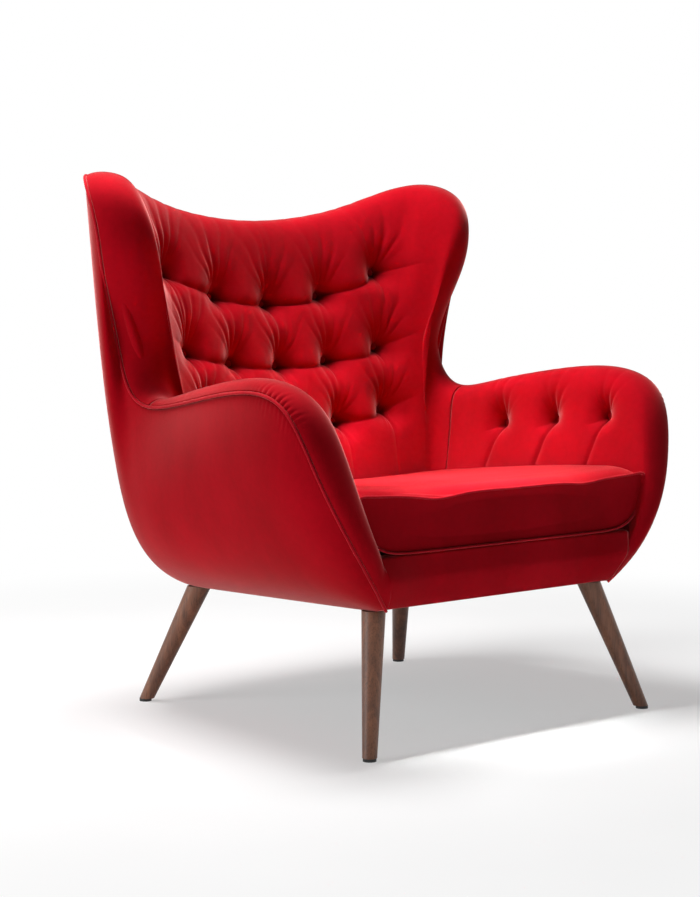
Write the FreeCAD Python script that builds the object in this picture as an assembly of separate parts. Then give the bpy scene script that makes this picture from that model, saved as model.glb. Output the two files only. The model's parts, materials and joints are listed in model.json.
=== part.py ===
import FreeCAD, Part
import math
import os
from FreeCAD import Vector

os.makedirs("parts", exist_ok=True)

# Wingback lounge armchair. Millimetres, +Z up, the seat faces -Y, and X is the width.
# The tables are measured from the middle between the feet; save() moves everything so that
# the origin is under the middle of the whole chair.
DEPTH_OFFSET = 58.4

# Seat frame, measured from the underside plane, which falls slightly to the back
UNDERSIDE_FRONT = 239.0
UNDERSIDE_FALL = 0.027
RAIL_HEIGHT = 84.0
RAIL_THICK = 26.0
BLOCK = 70.0
FRONT_HALF_WIDTH = 272.0
BACK_HALF_WIDTH = 262.0
FRAME_FRONT = -280.0
FRAME_BACK = 272.0
DECK_UNDER = 91.8
DECK_THICK = 7.2

# Legs
FRONT_FOOT = (339.0, -332.0)
FRONT_LEG_TOP = (267.0, -260.0)
BACK_FOOT = (324.0, 332.0)
BACK_LEG_TOP = (258.0, 247.0)
FOOT_RADIUS = 12.5
LEG_TOP_RADIUS = 21.0
GLIDE_THICK = 5.0
PLATE_THICK = 5.0
BOLT_RADIUS = 4.0

# Upholstery
COVER_THICK = 3.0
LAYER_GAP = 1.6
PANEL_THICK = 5.0
WELT_RADIUS = 2.6
COVER_ROOM = 4.6
FOAM_ROOM = 6.5
BACK_FOAM_ROOM = 11.0
OUTSIDE_ROOM = 6.0
PAD_DECK = 352.0
BUTTON_RADIUS = 9.0
BUTTON_DOME = 3.6

# Half widths of the apron, 200 and 400 above the floor
APRON_COVER_HALF = (259.3, 325.2)
APRON_FOAM_HALF = (253.0, 324.6)

# Loose cushion
CUSHION_FRONT = -318.0
CUSHION_BACK = 186.0
CUSHION_HEIGHT = 98.0
CUSHION_CROWN = 20.0
CUSHION_CLEAR = 9.0
PIPING_RADIUS = 3.0
ZIP_LENGTH = 420.0
ZIP_WIDTH = 22.0

# Stations along the outer edge of the right half, from the middle of the crest to the foot of the arm
WELT_LINE = [
    (0, 452, 886),      # middle of the crest
    (120, 449, 895),
    (235, 437, 917),    # crest shoulder
    (345, 410, 962),
    (430, 372, 1003),   # wing top
    (470, 300, 970),    # wing tip
    (461, 276, 890),
    (449, 284, 820),    # wing front
    (413, 305, 735),
    (395, 307, 660),    # neck
    (399, 275, 590),
    (402, 215, 562),    # waist, where the wing meets the arm
    (417, 95, 577),
    (441, -50, 603),    # arm middle
    (459, -195, 617),   # arm corner
    (461, -275, 585),
    (434, -306, 480),   # arm front
    (385, -333, 368),
    (322, -327, 287),   # knee
    (275, -301, 241),   # foot
]
WAIST = 11
LAST = len(WELT_LINE) - 1

# The roll at each station: three steps from the welt over the padded edge to the inside
CREST_ROLL = [(0, 4, 26), (0, -34, 34), (0, -74, 10)]
WING_TOP_ROLL = [(-4, -22, 8), (-42, -69, 1), (-83, -74, -35)]
WING_TIP_ROLL = [(-4, -22, 3), (-49, -72, -6), (-95, -72, -40)]
WING_ROLL = [(-8, -26, 0), (-44, -66, 0), (-96, -58, -4)]
WAIST_ROLL = [(-6, -12, 14), (-36, -22, 18), (-62, -20, 0)]
ARM_ROLL = [(-4, 0, 20), (-38, 0, 30), (-80, 0, 10)]
CORNER_ROLL = [(-6, -14, 10), (-36, -28, 16), (-84, -12, 4)]
FRONT_ROLL = [(-6, -16, 2), (-34, -26, 2), (-74, -12, 0)]
LOW_ROLL = [(-6, -14, 2), (-26, -20, 4), (-50, -8, 4)]
KNEE_ROLL = [(-4, -10, 4), (-12, -12, 18), (-20, -6, 36)]
FOOT_ROLL = [(3, -7, 12), (9, -14, 32), (18, -18, 50)]
ROLLS = ([CREST_ROLL] * 4 + [WING_TOP_ROLL, WING_TIP_ROLL] + [WING_ROLL] * 5 + [WAIST_ROLL]
         + [ARM_ROLL] * 3 + [CORNER_ROLL, FRONT_ROLL, LOW_ROLL, KNEE_ROLL, FOOT_ROLL])

# Where the inside meets the seat: across the back by its x, along the arm by x, y and z
BACK_DECK_X = [0, 62, 120, 168, 205, 232, 250, 263, 273, 281, 287]
ARM_DECK = [(291, 166, 352), (296, 110, 352), (308, -20, 352), (320, -140, 352), (330, -215, 352),
            (334, -262, 352), (334, -296, 352), (322, -312, 343), (305, -317, 333)]

# The outside of the right half: underside edge (x, y), then low, middle and high points
OUTSIDE = [
    [(0, 330), (0, 405, 256), (0, 444, 460), (0, 472, 740)],
    [(65, 330), (85, 404, 256), (90, 442, 460), (105, 470, 740)],
    [(130, 329), (165, 401, 256), (180, 438, 460), (205, 463, 740)],
    [(190, 325), (238, 392, 257), (268, 424, 460), (300, 449, 740)],
    [(234, 312), (295, 375, 258), (334, 400, 460), (367, 417, 740)],
    [(260, 290), (340, 342, 259), (380, 358, 460), (412, 367, 740)],
    [(270, 262), (358, 305, 260), (404, 322, 450), (424, 333, 690)],
    [(275, 235), (366, 270, 261), (416, 293, 440), (417, 314, 640)],
    [(277, 210), (370, 240, 262), (422, 267, 430), (402, 299, 590)],
    [(278, 185), (372, 210, 262), (426, 238, 420), (400, 280, 550)],
    [(279, 155), (373, 180, 262), (430, 204, 412), (405, 247, 520)],
    [(279, 115), (374, 140, 262), (433, 150, 405), (414, 195, 505)],
    [(280, 50), (375, 60, 262), (437, 70, 405), (435, 85, 510)],
    [(280, -40), (375, -40, 263), (442, -45, 405), (453, -50, 520)],
    [(281, -120), (374, -130, 263), (444, -150, 405), (465, -180, 520)],
    [(281, -180), (368, -190, 263), (436, -215, 390), (462, -250, 490)],
    [(281, -220), (348, -232, 260), (402, -262, 330), (427, -292, 405)],
    [(280, -248), (324, -268, 255), (356, -297, 288), (376, -320, 328)],
    [(279, -270), (298, -288, 248), (312, -304, 261), (320, -318, 274)],
    [(277, -280), (277, -284, 239.5), (276.5, -288, 240), (276, -292, 240.4)],
]

# Rows of buttons on the inside back: height in the middle, spacing, rise towards the wings
BACK_BUTTON_ROWS = [(751, 133, 0.88e-3), (629, 120, 0.55e-3), (510, 112, 0.55e-3)]
ARM_BUTTON_Y = [50, -75, -200]


def save(name, *solids):
    shape = solids[0] if len(solids) == 1 else Part.makeCompound(list(solids))
    shape.translated(Vector(0, -DEPTH_OFFSET, 0)).exportStep("parts/" + name + ".step")


def between(value, xs, ys):
    """Straight-line interpolation, held at both ends."""
    if value <= xs[0]:
        return ys[0]
    for x0, x1, y0, y1 in zip(xs, xs[1:], ys, ys[1:]):
        if value <= x1:
            return y0 + (y1 - y0) * (value - x0) / (x1 - x0)
    return ys[-1]


def blend(a, b, share):
    return a + (b - a) * share


def steps(first, last, count):
    return [first + (last - first) * i / (count - 1) for i in range(count)]


def mirror_x(point):
    return Vector(-point.x, point.y, point.z)


def underside(y):
    """Height of the underside plane."""
    return UNDERSIDE_FRONT - UNDERSIDE_FALL * (y + 290)


def on_frame(shape):
    """Carries a shape drawn on a level underside to the sloping underside plane."""
    turned = shape.copy()
    turned.rotate(Vector(0, 0, 0), Vector(1, 0, 0), -math.degrees(math.atan(UNDERSIDE_FALL)))
    turned.translate(Vector(0, 0, underside(0)))
    return turned


# Spline surfaces and solids from control points

def knot_data(count):
    degree = min(3, count - 1)
    spans = count - degree
    knots = [i / spans for i in range(spans + 1)]
    multiplicities = [degree + 1] + [1] * (spans - 1) + [degree + 1]
    return knots, multiplicities, degree


def spline_surface(net):
    u_knots, u_mults, u_degree = knot_data(len(net))
    v_knots, v_mults, v_degree = knot_data(len(net[0]))
    surface = Part.BSplineSurface()
    surface.buildFromPolesMultsKnots(net, u_mults, v_mults, u_knots, v_knots,
                                     False, False, u_degree, v_degree)
    return surface


def even_shares(count):
    """Where the control points of a spline lie along a line that it runs along at an even pace."""
    knots, multiplicities, degree = knot_data(count)
    full = [knot for knot, times in zip(knots, multiplicities) for _ in range(times)]
    return [sum(full[i + 1:i + degree + 1]) / degree for i in range(count)]


def spread_evenly(points, count):
    """Control points for an even pace along a line that is given by close points."""
    run = [0.0]
    for a, b in zip(points, points[1:]):
        run.append(run[-1] + (b - a).Length)
    spread = []
    i = 0
    for share in even_shares(count):
        place = share * run[-1]
        while i < len(points) - 2 and run[i + 1] < place:
            i += 1
        spread.append(blend(points[i], points[i + 1], (place - run[i]) / (run[i + 1] - run[i])))
    return spread


FINE = 4


def spline_curve(poles):
    knots, multiplicities, degree = knot_data(len(poles))
    curve = Part.BSplineCurve()
    curve.buildFromPolesMultsKnots(poles, multiplicities, knots, False, degree)
    return curve


def close_points(curve, count):
    return [curve.value(share) for share in steps(0, 1, FINE * count)]


def even_curve(poles, count):
    """The spline with the given control points, with new ones at an even pace."""
    return spread_evenly(close_points(spline_curve(poles), count), count)


def even_net(point_at, u_ends, v_ends, columns, rows, trim=list):
    """Control points of the sheet point_at(u, v), at an even pace both ways, its lines trimmed."""
    fine_v = steps(v_ends[0], v_ends[1], FINE * rows)
    lines = []
    for u in steps(u_ends[0], u_ends[1], FINE * columns):
        lines.append(spread_evenly(trim([point_at(u, v) for v in fine_v]), rows))
    across = [spread_evenly([line[i] for line in lines], columns) for i in range(rows)]
    return [list(column) for column in zip(*across)]


def calm_net(*sheet):
    """An even net whose sharp bends are eased, so that the spline over it keeps its pace."""
    net = even_net(*sheet)
    for _ in range(3):
        surface = spline_surface(net)
        net = even_net(surface.value, (0, 1), (0, 1), len(net), len(net[0]))
    return net


def is_flat(net):
    corner = net[0][0]
    normal = (net[-1][0] - corner).cross(net[0][-1] - corner).normalize()
    return all(abs((point - corner).dot(normal)) < 1e-6 for row in net for point in row)


def layer_face(net):
    """The face over a net of control points, a plane where they all lie in one."""
    if not is_flat(net):
        return spline_surface(net).toShape()
    sides = [net[0], [row[-1] for row in net], net[-1], [row[0] for row in net]]
    edges = [spline_curve(side).toShape() for side in sides]
    return Part.Face(Part.Wire(Part.__sortEdges__(edges)))


def spline_block(lattice):
    """A solid bounded by the six outer layers of a lattice of control points."""
    layers = [
        lattice[0],
        lattice[-1],
        [sheet[0] for sheet in lattice],
        [sheet[-1] for sheet in lattice],
        [[row[0] for row in sheet] for sheet in lattice],
        [[row[-1] for row in sheet] for sheet in lattice],
    ]
    skin = Part.makeCompound([layer_face(layer) for layer in layers])
    skin.sewShape(0.001)
    solid = Part.Solid(skin.Shells[0])
    if solid.Volume < 0:
        solid.reverse()
    return solid


def stack(front, back):
    """Pairs two layers of control points into a lattice."""
    return [[[a, b] for a, b in zip(row_a, row_b)] for row_a, row_b in zip(front, back)]


def cord(points, across, radius, count):
    """A thin cord with a square section along a spline with the given control points."""
    half = radius * math.sqrt(math.pi) / 2
    corners = []
    for i, point in enumerate(points):
        ahead = points[min(i + 1, len(points) - 1)]
        behind = points[max(i - 1, 0)]
        tangent = (ahead - behind).normalize()
        first = (across[i] - tangent * across[i].dot(tangent)).normalize() * half
        second = tangent.cross(first)
        corners.append([point - first - second, point - first + second,
                        point + first - second, point + first + second])
    edges = [even_curve(list(edge), count) for edge in zip(*corners)]
    return spline_block([[[a, b], [c, d]] for a, b, c, d in zip(*edges)])


# Shape of the upholstered body

def back_y(x, z):
    """Front of the inside back."""
    middle = between(z, [330, 450, 510, 630, 750, 850, 950], [208, 234, 250, 302, 342, 368, 388])
    hollow = between(z, [430, 600], [0.28e-3, 0.56e-3])
    return middle - hollow * x * x


def arm_x(y, z):
    """Inner face of the right arm."""
    return 330 + 0.085 * (200 - y) + 0.25 * (z - 540)


def deck_point(station):
    if station < WAIST:
        x = BACK_DECK_X[station]
        return Vector(x, back_y(x, PAD_DECK), PAD_DECK)
    return Vector(*ARM_DECK[station - WAIST])


def inside_of_ridge(station, z):
    """Farthest x of an inner line of the back, so that no line crosses the ridge of the wing."""
    ridge = between(z, [352, 586, 656, 731, 816, 886, 930], [291, 303, 299, 317, 353, 365, 375])
    return ridge - 291 + BACK_DECK_X[station]


def pad_rows(station):
    """Control points of the inside at one station: welt side, roll, inner face, deck."""
    welt = Vector(*WELT_LINE[station])
    roll = [welt + Vector(*step) for step in ROLLS[station]]
    deck = deck_point(station)
    rows = [welt] + roll
    for share in (0.22, 0.50, 0.78):
        point = blend(roll[2], deck, share)
        if station < WAIST:
            point.x = min(point.x, inside_of_ridge(station, point.z))
        if station < 4:
            point.y = back_y(point.x, point.z)
        elif station < WAIST:
            weight = min(1, share / 0.5)
            point.y = point.y * (1 - weight) + back_y(point.x, point.z) * weight
        elif WAIST < station <= 17:
            point.x = arm_x(point.y, point.z)
        rows.append(point)
    return rows + [deck]


def backing_rows(station):
    """Control points of the hidden back of the pad at one station."""
    welt = Vector(*WELT_LINE[station])
    roll_end = welt + Vector(*ROLLS[station][2])
    top = welt + (roll_end - welt).normalize() * 15
    if station == 17:
        top = welt + Vector(-11, 13, 2)
    elif station == 18:
        top = welt + Vector(-11, 15, 12)
    elif station == LAST:
        top = welt + Vector(-3, 10, 15)
    shift_x = between(station, [5, 8, 11, 12, 15, 16, 17, 18, 19], [0, 16, 45, 48, 48, 40, 22, 0, -5])
    shift_y = between(station, [5, 8, 11, 12, 15, 16, 17, 18, 19], [58, 54, 45, 0, 0, 14, 26, 27, 27])
    bottom = deck_point(station) + Vector(shift_x, shift_y, 0)
    return [blend(top, bottom, share) for share in even_shares(8)]


def outside_rows(station):
    """Control points of the outside at one station: underside edge up to the welt."""
    x, y = OUTSIDE[station][0]
    high = [Vector(*point) for point in OUTSIDE[station][1:]]
    return [Vector(x, y, underside(y))] + high + [Vector(*WELT_LINE[station])]


def whole_width(rows_at):
    """The control net over both halves, from the left foot to the right foot."""
    right = [rows_at(station) for station in range(LAST + 1)]
    left = [[mirror_x(point) for point in row] for row in right[:0:-1]]
    return left + right


def welt_poles():
    right = [Vector(*point) for point in WELT_LINE]
    return [mirror_x(point) for point in right[:0:-1]] + right


WELT = spline_curve(welt_poles())
PAD = spline_surface(whole_width(pad_rows))
BACKING = spline_surface(whole_width(backing_rows))
OUTER = spline_surface(whole_width(outside_rows))


def from_welt(point):
    return (WELT.value(WELT.parameter(point)) - point).Length


def clear_of_welt(line, room):
    """A line that starts at the welt, without what lies nearer to the welt than a given room."""
    i = 0
    while i < len(line) - 3 and from_welt(line[i + 1]) < room:
        i += 1
    near = from_welt(line[i])
    share = max(0, min(1, (room - near) / (from_welt(line[i + 1]) - near)))
    return [blend(line[i], line[i + 1], share)] + line[i + 2:]


def station_u(station):
    """Surface parameter of a station, negative on the left half."""
    even = 0.5 / (LAST - 1)
    share = between(abs(station), [0, LAST - 2, LAST - 1, LAST],
                    [0, (LAST - 2) * even, 0.5 - even / 3, 0.5])
    return 0.5 + math.copysign(share, station)


def back_button_places():
    places = []
    for height, pitch, rise in BACK_BUTTON_ROWS:
        for column in range(-2, 3):
            x = column * pitch
            z = height + rise * x * x
            places.append(Vector(x, back_y(x, z), z))
    return places


def arm_button_places(side):
    places = []
    for y in ARM_BUTTON_Y:
        z = 519 - 0.096 * y
        places.append(Vector(side * arm_x(y, z), y, z))
    return places


def into_pad(u, v):
    """Unit vector from the face of the pad into it."""
    normal = PAD.normal(u, v)
    middle = PAD.normal(0.5, 0.6)
    return normal if middle.y > 0 else normal * -1


CREASE_GAP = 0.0005
FOAM_INSET = 0.0018
PAD_ROWS = 65


def pad_layer(u_ends, columns, depth_at, room):
    """Control points of a layer of the pad, some depth below its face and clear of the welt."""
    def point_at(u, v):
        return PAD.value(u, v) + into_pad(u, v) * depth_at(u, v)

    def trim(line):
        return clear_of_welt(line, room)

    return calm_net(point_at, u_ends, (0, 1), columns, PAD_ROWS, trim)


def face_depth(u, v):
    return 0.0


def lining_depth(u, v):
    return COVER_THICK


def foam_face_depth(u, v):
    return COVER_THICK + LAYER_GAP


def back_foam_depth(u, v):
    """Depth of the hidden side of the back's foam: thin at the welt and in the wings."""
    station = abs(u - 0.5) * 2 * (LAST - 1)
    full = between(station, [0, 7, WAIST], [30, 13, 12])
    return between(v, [0, 0.36, 0.76], [9, 11, full])


def back_hidden(u_ends, columns):
    return pad_layer(u_ends, columns, back_foam_depth, BACK_FOAM_ROOM)


def arm_hidden(u_ends, columns):
    return calm_net(BACKING.value, u_ends, (0, 1), columns, PAD_ROWS)


def pad_pair(name, side, u_first, u_last, columns, hidden_layer):
    """The foam of one pad and the cover that lies over it."""
    u_cover = (u_first, u_last)
    u_foam = (u_first + FOAM_INSET, u_last - FOAM_INSET)
    face = pad_layer(u_cover, columns, face_depth, COVER_ROOM)
    lining = pad_layer(u_cover, columns, lining_depth, COVER_ROOM)
    foam_face = pad_layer(u_foam, columns, foam_face_depth, FOAM_ROOM)
    hidden = hidden_layer(u_foam, columns)
    save(name + "_cover" + side, spline_block(stack(face, lining)))
    save(name + "_foam" + side, spline_block(stack(foam_face, hidden)))
    return spline_surface(face)


left_seam = station_u(-WAIST)
right_seam = station_u(WAIST)
back_face = pad_pair("inside_back", "", left_seam + CREASE_GAP, right_seam - CREASE_GAP, 161,
                     back_hidden)
right_arm_face = pad_pair("inside_arm", "_right", right_seam + CREASE_GAP, 1.0, 81, arm_hidden)
left_arm_face = pad_pair("inside_arm", "_left", 0.0, left_seam - CREASE_GAP, 81, arm_hidden)


# Covered buttons on the pads

def button(face, near, out):
    """A lens-shaped button that sits just clear of the face of a pad."""
    u, v = face.parameter(near)
    seat = face.value(u, v)
    square = face.normal(u, v)
    out = square if square.dot(out) > 0 else square * -1
    bulge = (BUTTON_RADIUS ** 2 + BUTTON_DOME ** 2) / (2 * BUTTON_DOME)
    offset = bulge - BUTTON_DOME
    front = Part.makeSphere(bulge, Vector(0, 0, -offset))
    lens = Part.makeSphere(bulge, Vector(0, 0, offset)).common(front)
    lens.Placement = FreeCAD.Placement(seat + out * (BUTTON_DOME + 1.6),
                                       FreeCAD.Rotation(Vector(0, 0, 1), out))
    return lens


def make_buttons():
    forward = Vector(0, -0.96, 0.28)
    save("back_buttons", *[button(back_face, place, forward) for place in back_button_places()])
    for name, face, side in (("left", left_arm_face, -1), ("right", right_arm_face, 1)):
        inwards = Vector(-side, 0, 0)
        places = arm_button_places(side)
        save("arm_buttons_" + name, *[button(face, place, inwards) for place in places])


make_buttons()


# Outside covers, apron and welt

def outer_layer(u_ends, columns, depth):
    """Control points of a layer of the outside, a given depth below its face."""
    sign = 1 if OUTER.normal(0.5, 0.5).y < 0 else -1

    def point_at(u, v):
        return OUTER.value(u, v) + OUTER.normal(u, v) * (sign * depth)

    def trim(line):
        return clear_of_welt(line[::-1], OUTSIDE_ROOM)[::-1]

    return calm_net(point_at, u_ends, (0, 1), columns, 33, trim)


def outside_cover(name, u_first, u_last, columns):
    u_ends = (u_first, u_last)
    face = outer_layer(u_ends, columns, 0)
    lining = outer_layer(u_ends, columns, PANEL_THICK)
    save(name, spline_block(stack(face, lining)))


BACK_SEAM = 3.6
SEAM_GAP = 0.0004
FOOT_END = 18.7
left_back_seam = station_u(-BACK_SEAM)
right_back_seam = station_u(BACK_SEAM)
outside_cover("outside_back_cover", left_back_seam + SEAM_GAP, right_back_seam - SEAM_GAP, 61)
outside_cover("outside_arm_cover_right", right_back_seam + SEAM_GAP, station_u(FOOT_END), 121)
outside_cover("outside_arm_cover_left", station_u(-FOOT_END), left_back_seam - SEAM_GAP, 121)


def border(front, back, half_widths):
    """A bar along the width between a front and a back edge line, cut to fit between the arms' feet."""
    lines = []
    for line in (front, back[::-1]):
        level = [Vector(-400, point.y, point.z) for point in line]
        lines.append(spline_curve(level).toShape())
    ends = [Part.makeLine(a.lastVertex().Point, b.firstVertex().Point)
            for a, b in ((lines[0], lines[1]), (lines[1], lines[0]))]
    bar = Part.Face(Part.Wire([lines[0], ends[0], lines[1], ends[1]])).extrude(Vector(800, 0, 0))
    low, high = half_widths
    room = [(-low, 200), (low, 200), (high, 400), (-high, 400)]
    outline = [Vector(x, -500, z) for x, z in room + room[:1]]
    return bar.common(Part.Face(Part.makePolygon(outline)).extrude(Vector(0, 700, 0)))


def make_apron():
    """The padded border under the cushion, between the feet of the two arms."""
    line = close_points(spline_curve(pad_rows(LAST)), PAD_ROWS)
    edge = spread_evenly(clear_of_welt(line, COVER_ROOM), PAD_ROWS)
    hidden = even_curve(backing_rows(LAST), PAD_ROWS)

    def set_back(depth):
        return [point + Vector(0, depth, 0) for point in edge]

    save("apron_cover", border(edge, set_back(COVER_THICK), APRON_COVER_HALF))
    save("apron_foam", border(set_back(COVER_THICK + LAYER_GAP), hidden, APRON_FOAM_HALF))


def make_welt():
    inwards = [Vector(*roll[2]) for roll in ROLLS]
    across = [mirror_x(step) for step in inwards[:0:-1]] + inwards
    save("edge_welt", cord(welt_poles(), across, WELT_RADIUS, 301))


make_apron()
make_welt()


# Hidden frame of the back and arms, drawn inside the wall between outer cover and pad

WALL_DECK = 0.38


def wall_point(station, height, depth):
    """A point in the wall: height runs from underside to welt, depth from outer cover to pad."""
    u = station_u(station)
    outer = OUTER.value(u, height)
    if height >= WALL_DECK:
        inner = BACKING.value(u, (1 - height) / (1 - WALL_DECK))
    else:
        foot = OUTER.value(u, 0)
        foot = Vector(foot.x * 0.86, foot.y * 0.86, foot.z + 12)
        inner = blend(foot, BACKING.value(u, 1), height / WALL_DECK)
    return blend(outer, inner, depth)


def wall_block(stations, heights, depths, columns, rows):
    """A block in the wall between two stations, two heights and two depths."""
    layers = []
    for depth in depths:
        def point_at(station, height):
            return wall_point(station, height, depth)

        layers.append(even_net(point_at, stations, heights, columns, rows))
    return spline_block(stack(*layers))


def make_wall_frame():
    save("crest_rail", wall_block((-4.2, 4.2), (0.84, 0.92), (0.36, 0.76), 41, 5))
    save("lower_back_rail", wall_block((-2.3, 2.3), (0.46, 0.54), (0.42, 0.64), 21, 5))
    upright = (0.30, 0.82)
    for name, side in (("left", -1), ("right", 1)):
        posts = [("back_post_", 2.45, 3.05, (0.40, 0.66)), ("wing_post_", 4.6, 5.3, (0.40, 0.66)),
                 ("arm_post_", 15.0, 15.7, (0.36, 0.66))]
        for post, first, last, depths in posts:
            save(post + name, wall_block((side * first, side * last), upright, depths, 5, 31))
        ends = (side * 11.6, side * 14.7)
        save("arm_rail_" + name, wall_block(ends, (0.72, 0.82), (0.36, 0.66), 25, 5))
    straps = [wall_block((s - 0.22, s + 0.22), (0.44, 0.90), (0.86, 0.90), 5, 31)
              for s in (-1.8, -0.6, 0.6, 1.8)]
    save("back_webbing", *straps)


make_wall_frame()


# Seat frame on the sloping underside

def box(x0, x1, y0, y1, z0, z1):
    return Part.makeBox(x1 - x0, y1 - y0, z1 - z0, Vector(x0, y0, z0))


def leg_axis(foot, top, side):
    """Foot and top of a leg's middle line, the top on the underside plane."""
    start = Vector(side * foot[0], foot[1], 0)
    end = Vector(side * top[0], top[1], underside(top[1]))
    return start, end


# Corners: name, side, foot, leg top, outer edge of the block, front and back of the block
CORNERS = [
    ("front_left", -1, FRONT_FOOT, FRONT_LEG_TOP, FRONT_HALF_WIDTH, FRAME_FRONT, FRAME_FRONT + BLOCK),
    ("front_right", 1, FRONT_FOOT, FRONT_LEG_TOP, FRONT_HALF_WIDTH, FRAME_FRONT, FRAME_FRONT + BLOCK),
    ("back_left", -1, BACK_FOOT, BACK_LEG_TOP, BACK_HALF_WIDTH, FRAME_BACK - BLOCK, FRAME_BACK),
    ("back_right", 1, BACK_FOOT, BACK_LEG_TOP, BACK_HALF_WIDTH, FRAME_BACK - BLOCK, FRAME_BACK),
]
BACK_CHAMFER = 22.0
LEG_TOP_LEVEL = -0.5
BOSS_RADIUS = 10.0
PLATE_BOTTOM = 3.0
BLOCK_BOTTOM = PLATE_BOTTOM + PLATE_THICK + 0.4
SCREW_INSET = 12.0


def along(start, direction, first, last, radius):
    return Part.makeCylinder(radius, last - first, start + direction * first, direction)


def back_corner_off(shape, x_outer, y0, y1):
    """Takes the outer back corner off a block or plate, to follow the rounded underside."""
    if y1 < 0:
        return shape
    inwards = -math.copysign(BACK_CHAMFER, x_outer)
    corner = [Vector(x_outer, y1, 0), Vector(x_outer + inwards, y1, 0),
              Vector(x_outer, y1 - BACK_CHAMFER, 0)]
    wedge = Part.Face(Part.makePolygon(corner + corner[:1])).extrude(Vector(0, 0, 200))
    return shape.cut(wedge)


def make_corner(name, side, foot, top, half_width, y0, y1):
    """Corner block, leg plate, leg and glide of one corner; gives back its bolt and screws."""
    start, end = leg_axis(foot, top, side)
    direction = (end - start).normalize()
    x_outer = side * half_width
    x_inner = side * (half_width - BLOCK)
    x0, x1 = min(x_outer, x_inner), max(x_outer, x_inner)
    bolt = along(end, direction, -30, 34, BOLT_RADIUS)
    bolt_room = along(end, direction, -32, 40, BOLT_RADIUS + 0.5)

    screw_places = [(x, y) for x in (x0 + SCREW_INSET, x1 - SCREW_INSET)
                    for y in (y0 + SCREW_INSET, y1 - SCREW_INSET)]
    near_leg = min(screw_places, key=lambda place: math.hypot(place[0] - end.x, place[1] - end.y))
    screw_places.remove(near_leg)
    screws = []
    plate = back_corner_off(box(x0, x1, y0, y1, PLATE_BOTTOM, PLATE_BOTTOM + PLATE_THICK), x_outer, y0, y1)
    block = back_corner_off(box(x0, x1, y0, y1, BLOCK_BOTTOM, RAIL_HEIGHT), x_outer, y0, y1)
    boss_x = end.x - side * 0.8
    boss = Part.makeCylinder(BOSS_RADIUS, PLATE_BOTTOM + 1, Vector(boss_x, end.y, LEG_TOP_LEVEL + 0.4))
    boss = boss.common(back_corner_off(box(x0, x1, y0, y1, -5, 20), x_outer, y0, y1))
    plate = plate.fuse(boss)
    for x, y in screw_places:
        shank = Part.makeCylinder(2.0, 24, Vector(x, y, PLATE_BOTTOM + 2.2))
        head = Part.makeCylinder(4.0, 2.0, Vector(x, y, PLATE_BOTTOM + 0.3))
        screws.append(on_frame(head.fuse(shank)))
        room = Part.makeCylinder(2.4, 28, Vector(x, y, PLATE_BOTTOM))
        head_room = Part.makeCylinder(4.4, 2.8, Vector(x, y, PLATE_BOTTOM))
        plate = plate.cut(room).cut(head_room)
        block = block.cut(room)
    save("leg_plate_" + name, on_frame(plate).cut(bolt_room))
    save("corner_block_" + name, on_frame(block).cut(bolt_room))

    length = (end - start).Length
    growth = (LEG_TOP_RADIUS - FOOT_RADIUS) / length
    spare = 40.0
    cone = Part.makeCone(FOOT_RADIUS - growth * spare, LEG_TOP_RADIUS + growth * spare, length + 2 * spare,
                         start - direction * spare, direction)
    above = on_frame(box(-600, 600, -600, 600, LEG_TOP_LEVEL, 300))
    below = box(-600, 600, -600, 600, -100, GLIDE_THICK + 0.3)
    save("leg_" + name, cone.cut(above).cut(below).cut(bolt_room))
    save("glide_" + name, Part.makeCylinder(FOOT_RADIUS - 1, GLIDE_THICK, start))
    return bolt, screws


def make_legs():
    bolts = []
    screws = []
    for corner in CORNERS:
        bolt, corner_screws = make_corner(*corner)
        bolts.append(bolt)
        screws.extend(corner_screws)
    save("hanger_bolts", *bolts)
    save("plate_screws", *screws)


def make_rails():
    front_x = FRONT_HALF_WIDTH - BLOCK - 0.4
    back_x = BACK_HALF_WIDTH - BLOCK - 0.4
    front_y = FRAME_FRONT + RAIL_THICK
    back_y0 = FRAME_BACK - RAIL_THICK
    save("front_rail", on_frame(box(-front_x, front_x, FRAME_FRONT, front_y, 4, RAIL_HEIGHT)))
    save("back_rail", on_frame(box(-back_x, back_x, back_y0, FRAME_BACK, 4, RAIL_HEIGHT)))
    y0 = FRAME_FRONT + BLOCK + 0.4
    y1 = FRAME_BACK - BLOCK - 0.4
    for name, x0 in (("left", -BACK_HALF_WIDTH), ("right", BACK_HALF_WIDTH - RAIL_THICK)):
        save("side_rail_" + name, on_frame(box(x0, x0 + RAIL_THICK, y0, y1, 4, RAIL_HEIGHT)))


def bent_wire(place, heading, moves, bend, radius):
    """A square wire in a level plane: straight lengths, and turns in degrees with one bend radius."""
    pieces = []
    upright = Vector(0, 0, 1)
    half = radius * math.sqrt(math.pi) / 2
    for kind, amount in moves:
        side = upright.cross(heading)
        corners = [place + side * (a * half) + upright * (b * half)
                   for a, b in ((-1, -1), (1, -1), (1, 1), (-1, 1))]
        section = Part.Face(Part.makePolygon(corners + corners[:1]))
        if kind == "straight":
            pieces.append(section.extrude(heading * amount))
            place = place + heading * amount
        else:
            middle = place + side * math.copysign(bend, amount)
            pieces.append(section.revolve(middle, upright, amount))
            turn = FreeCAD.Rotation(upright, amount)
            place = middle + turn.multVec(place - middle)
            heading = turn.multVec(heading)
    return pieces[0].multiFuse(pieces[1:]).removeSplitter()


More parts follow.
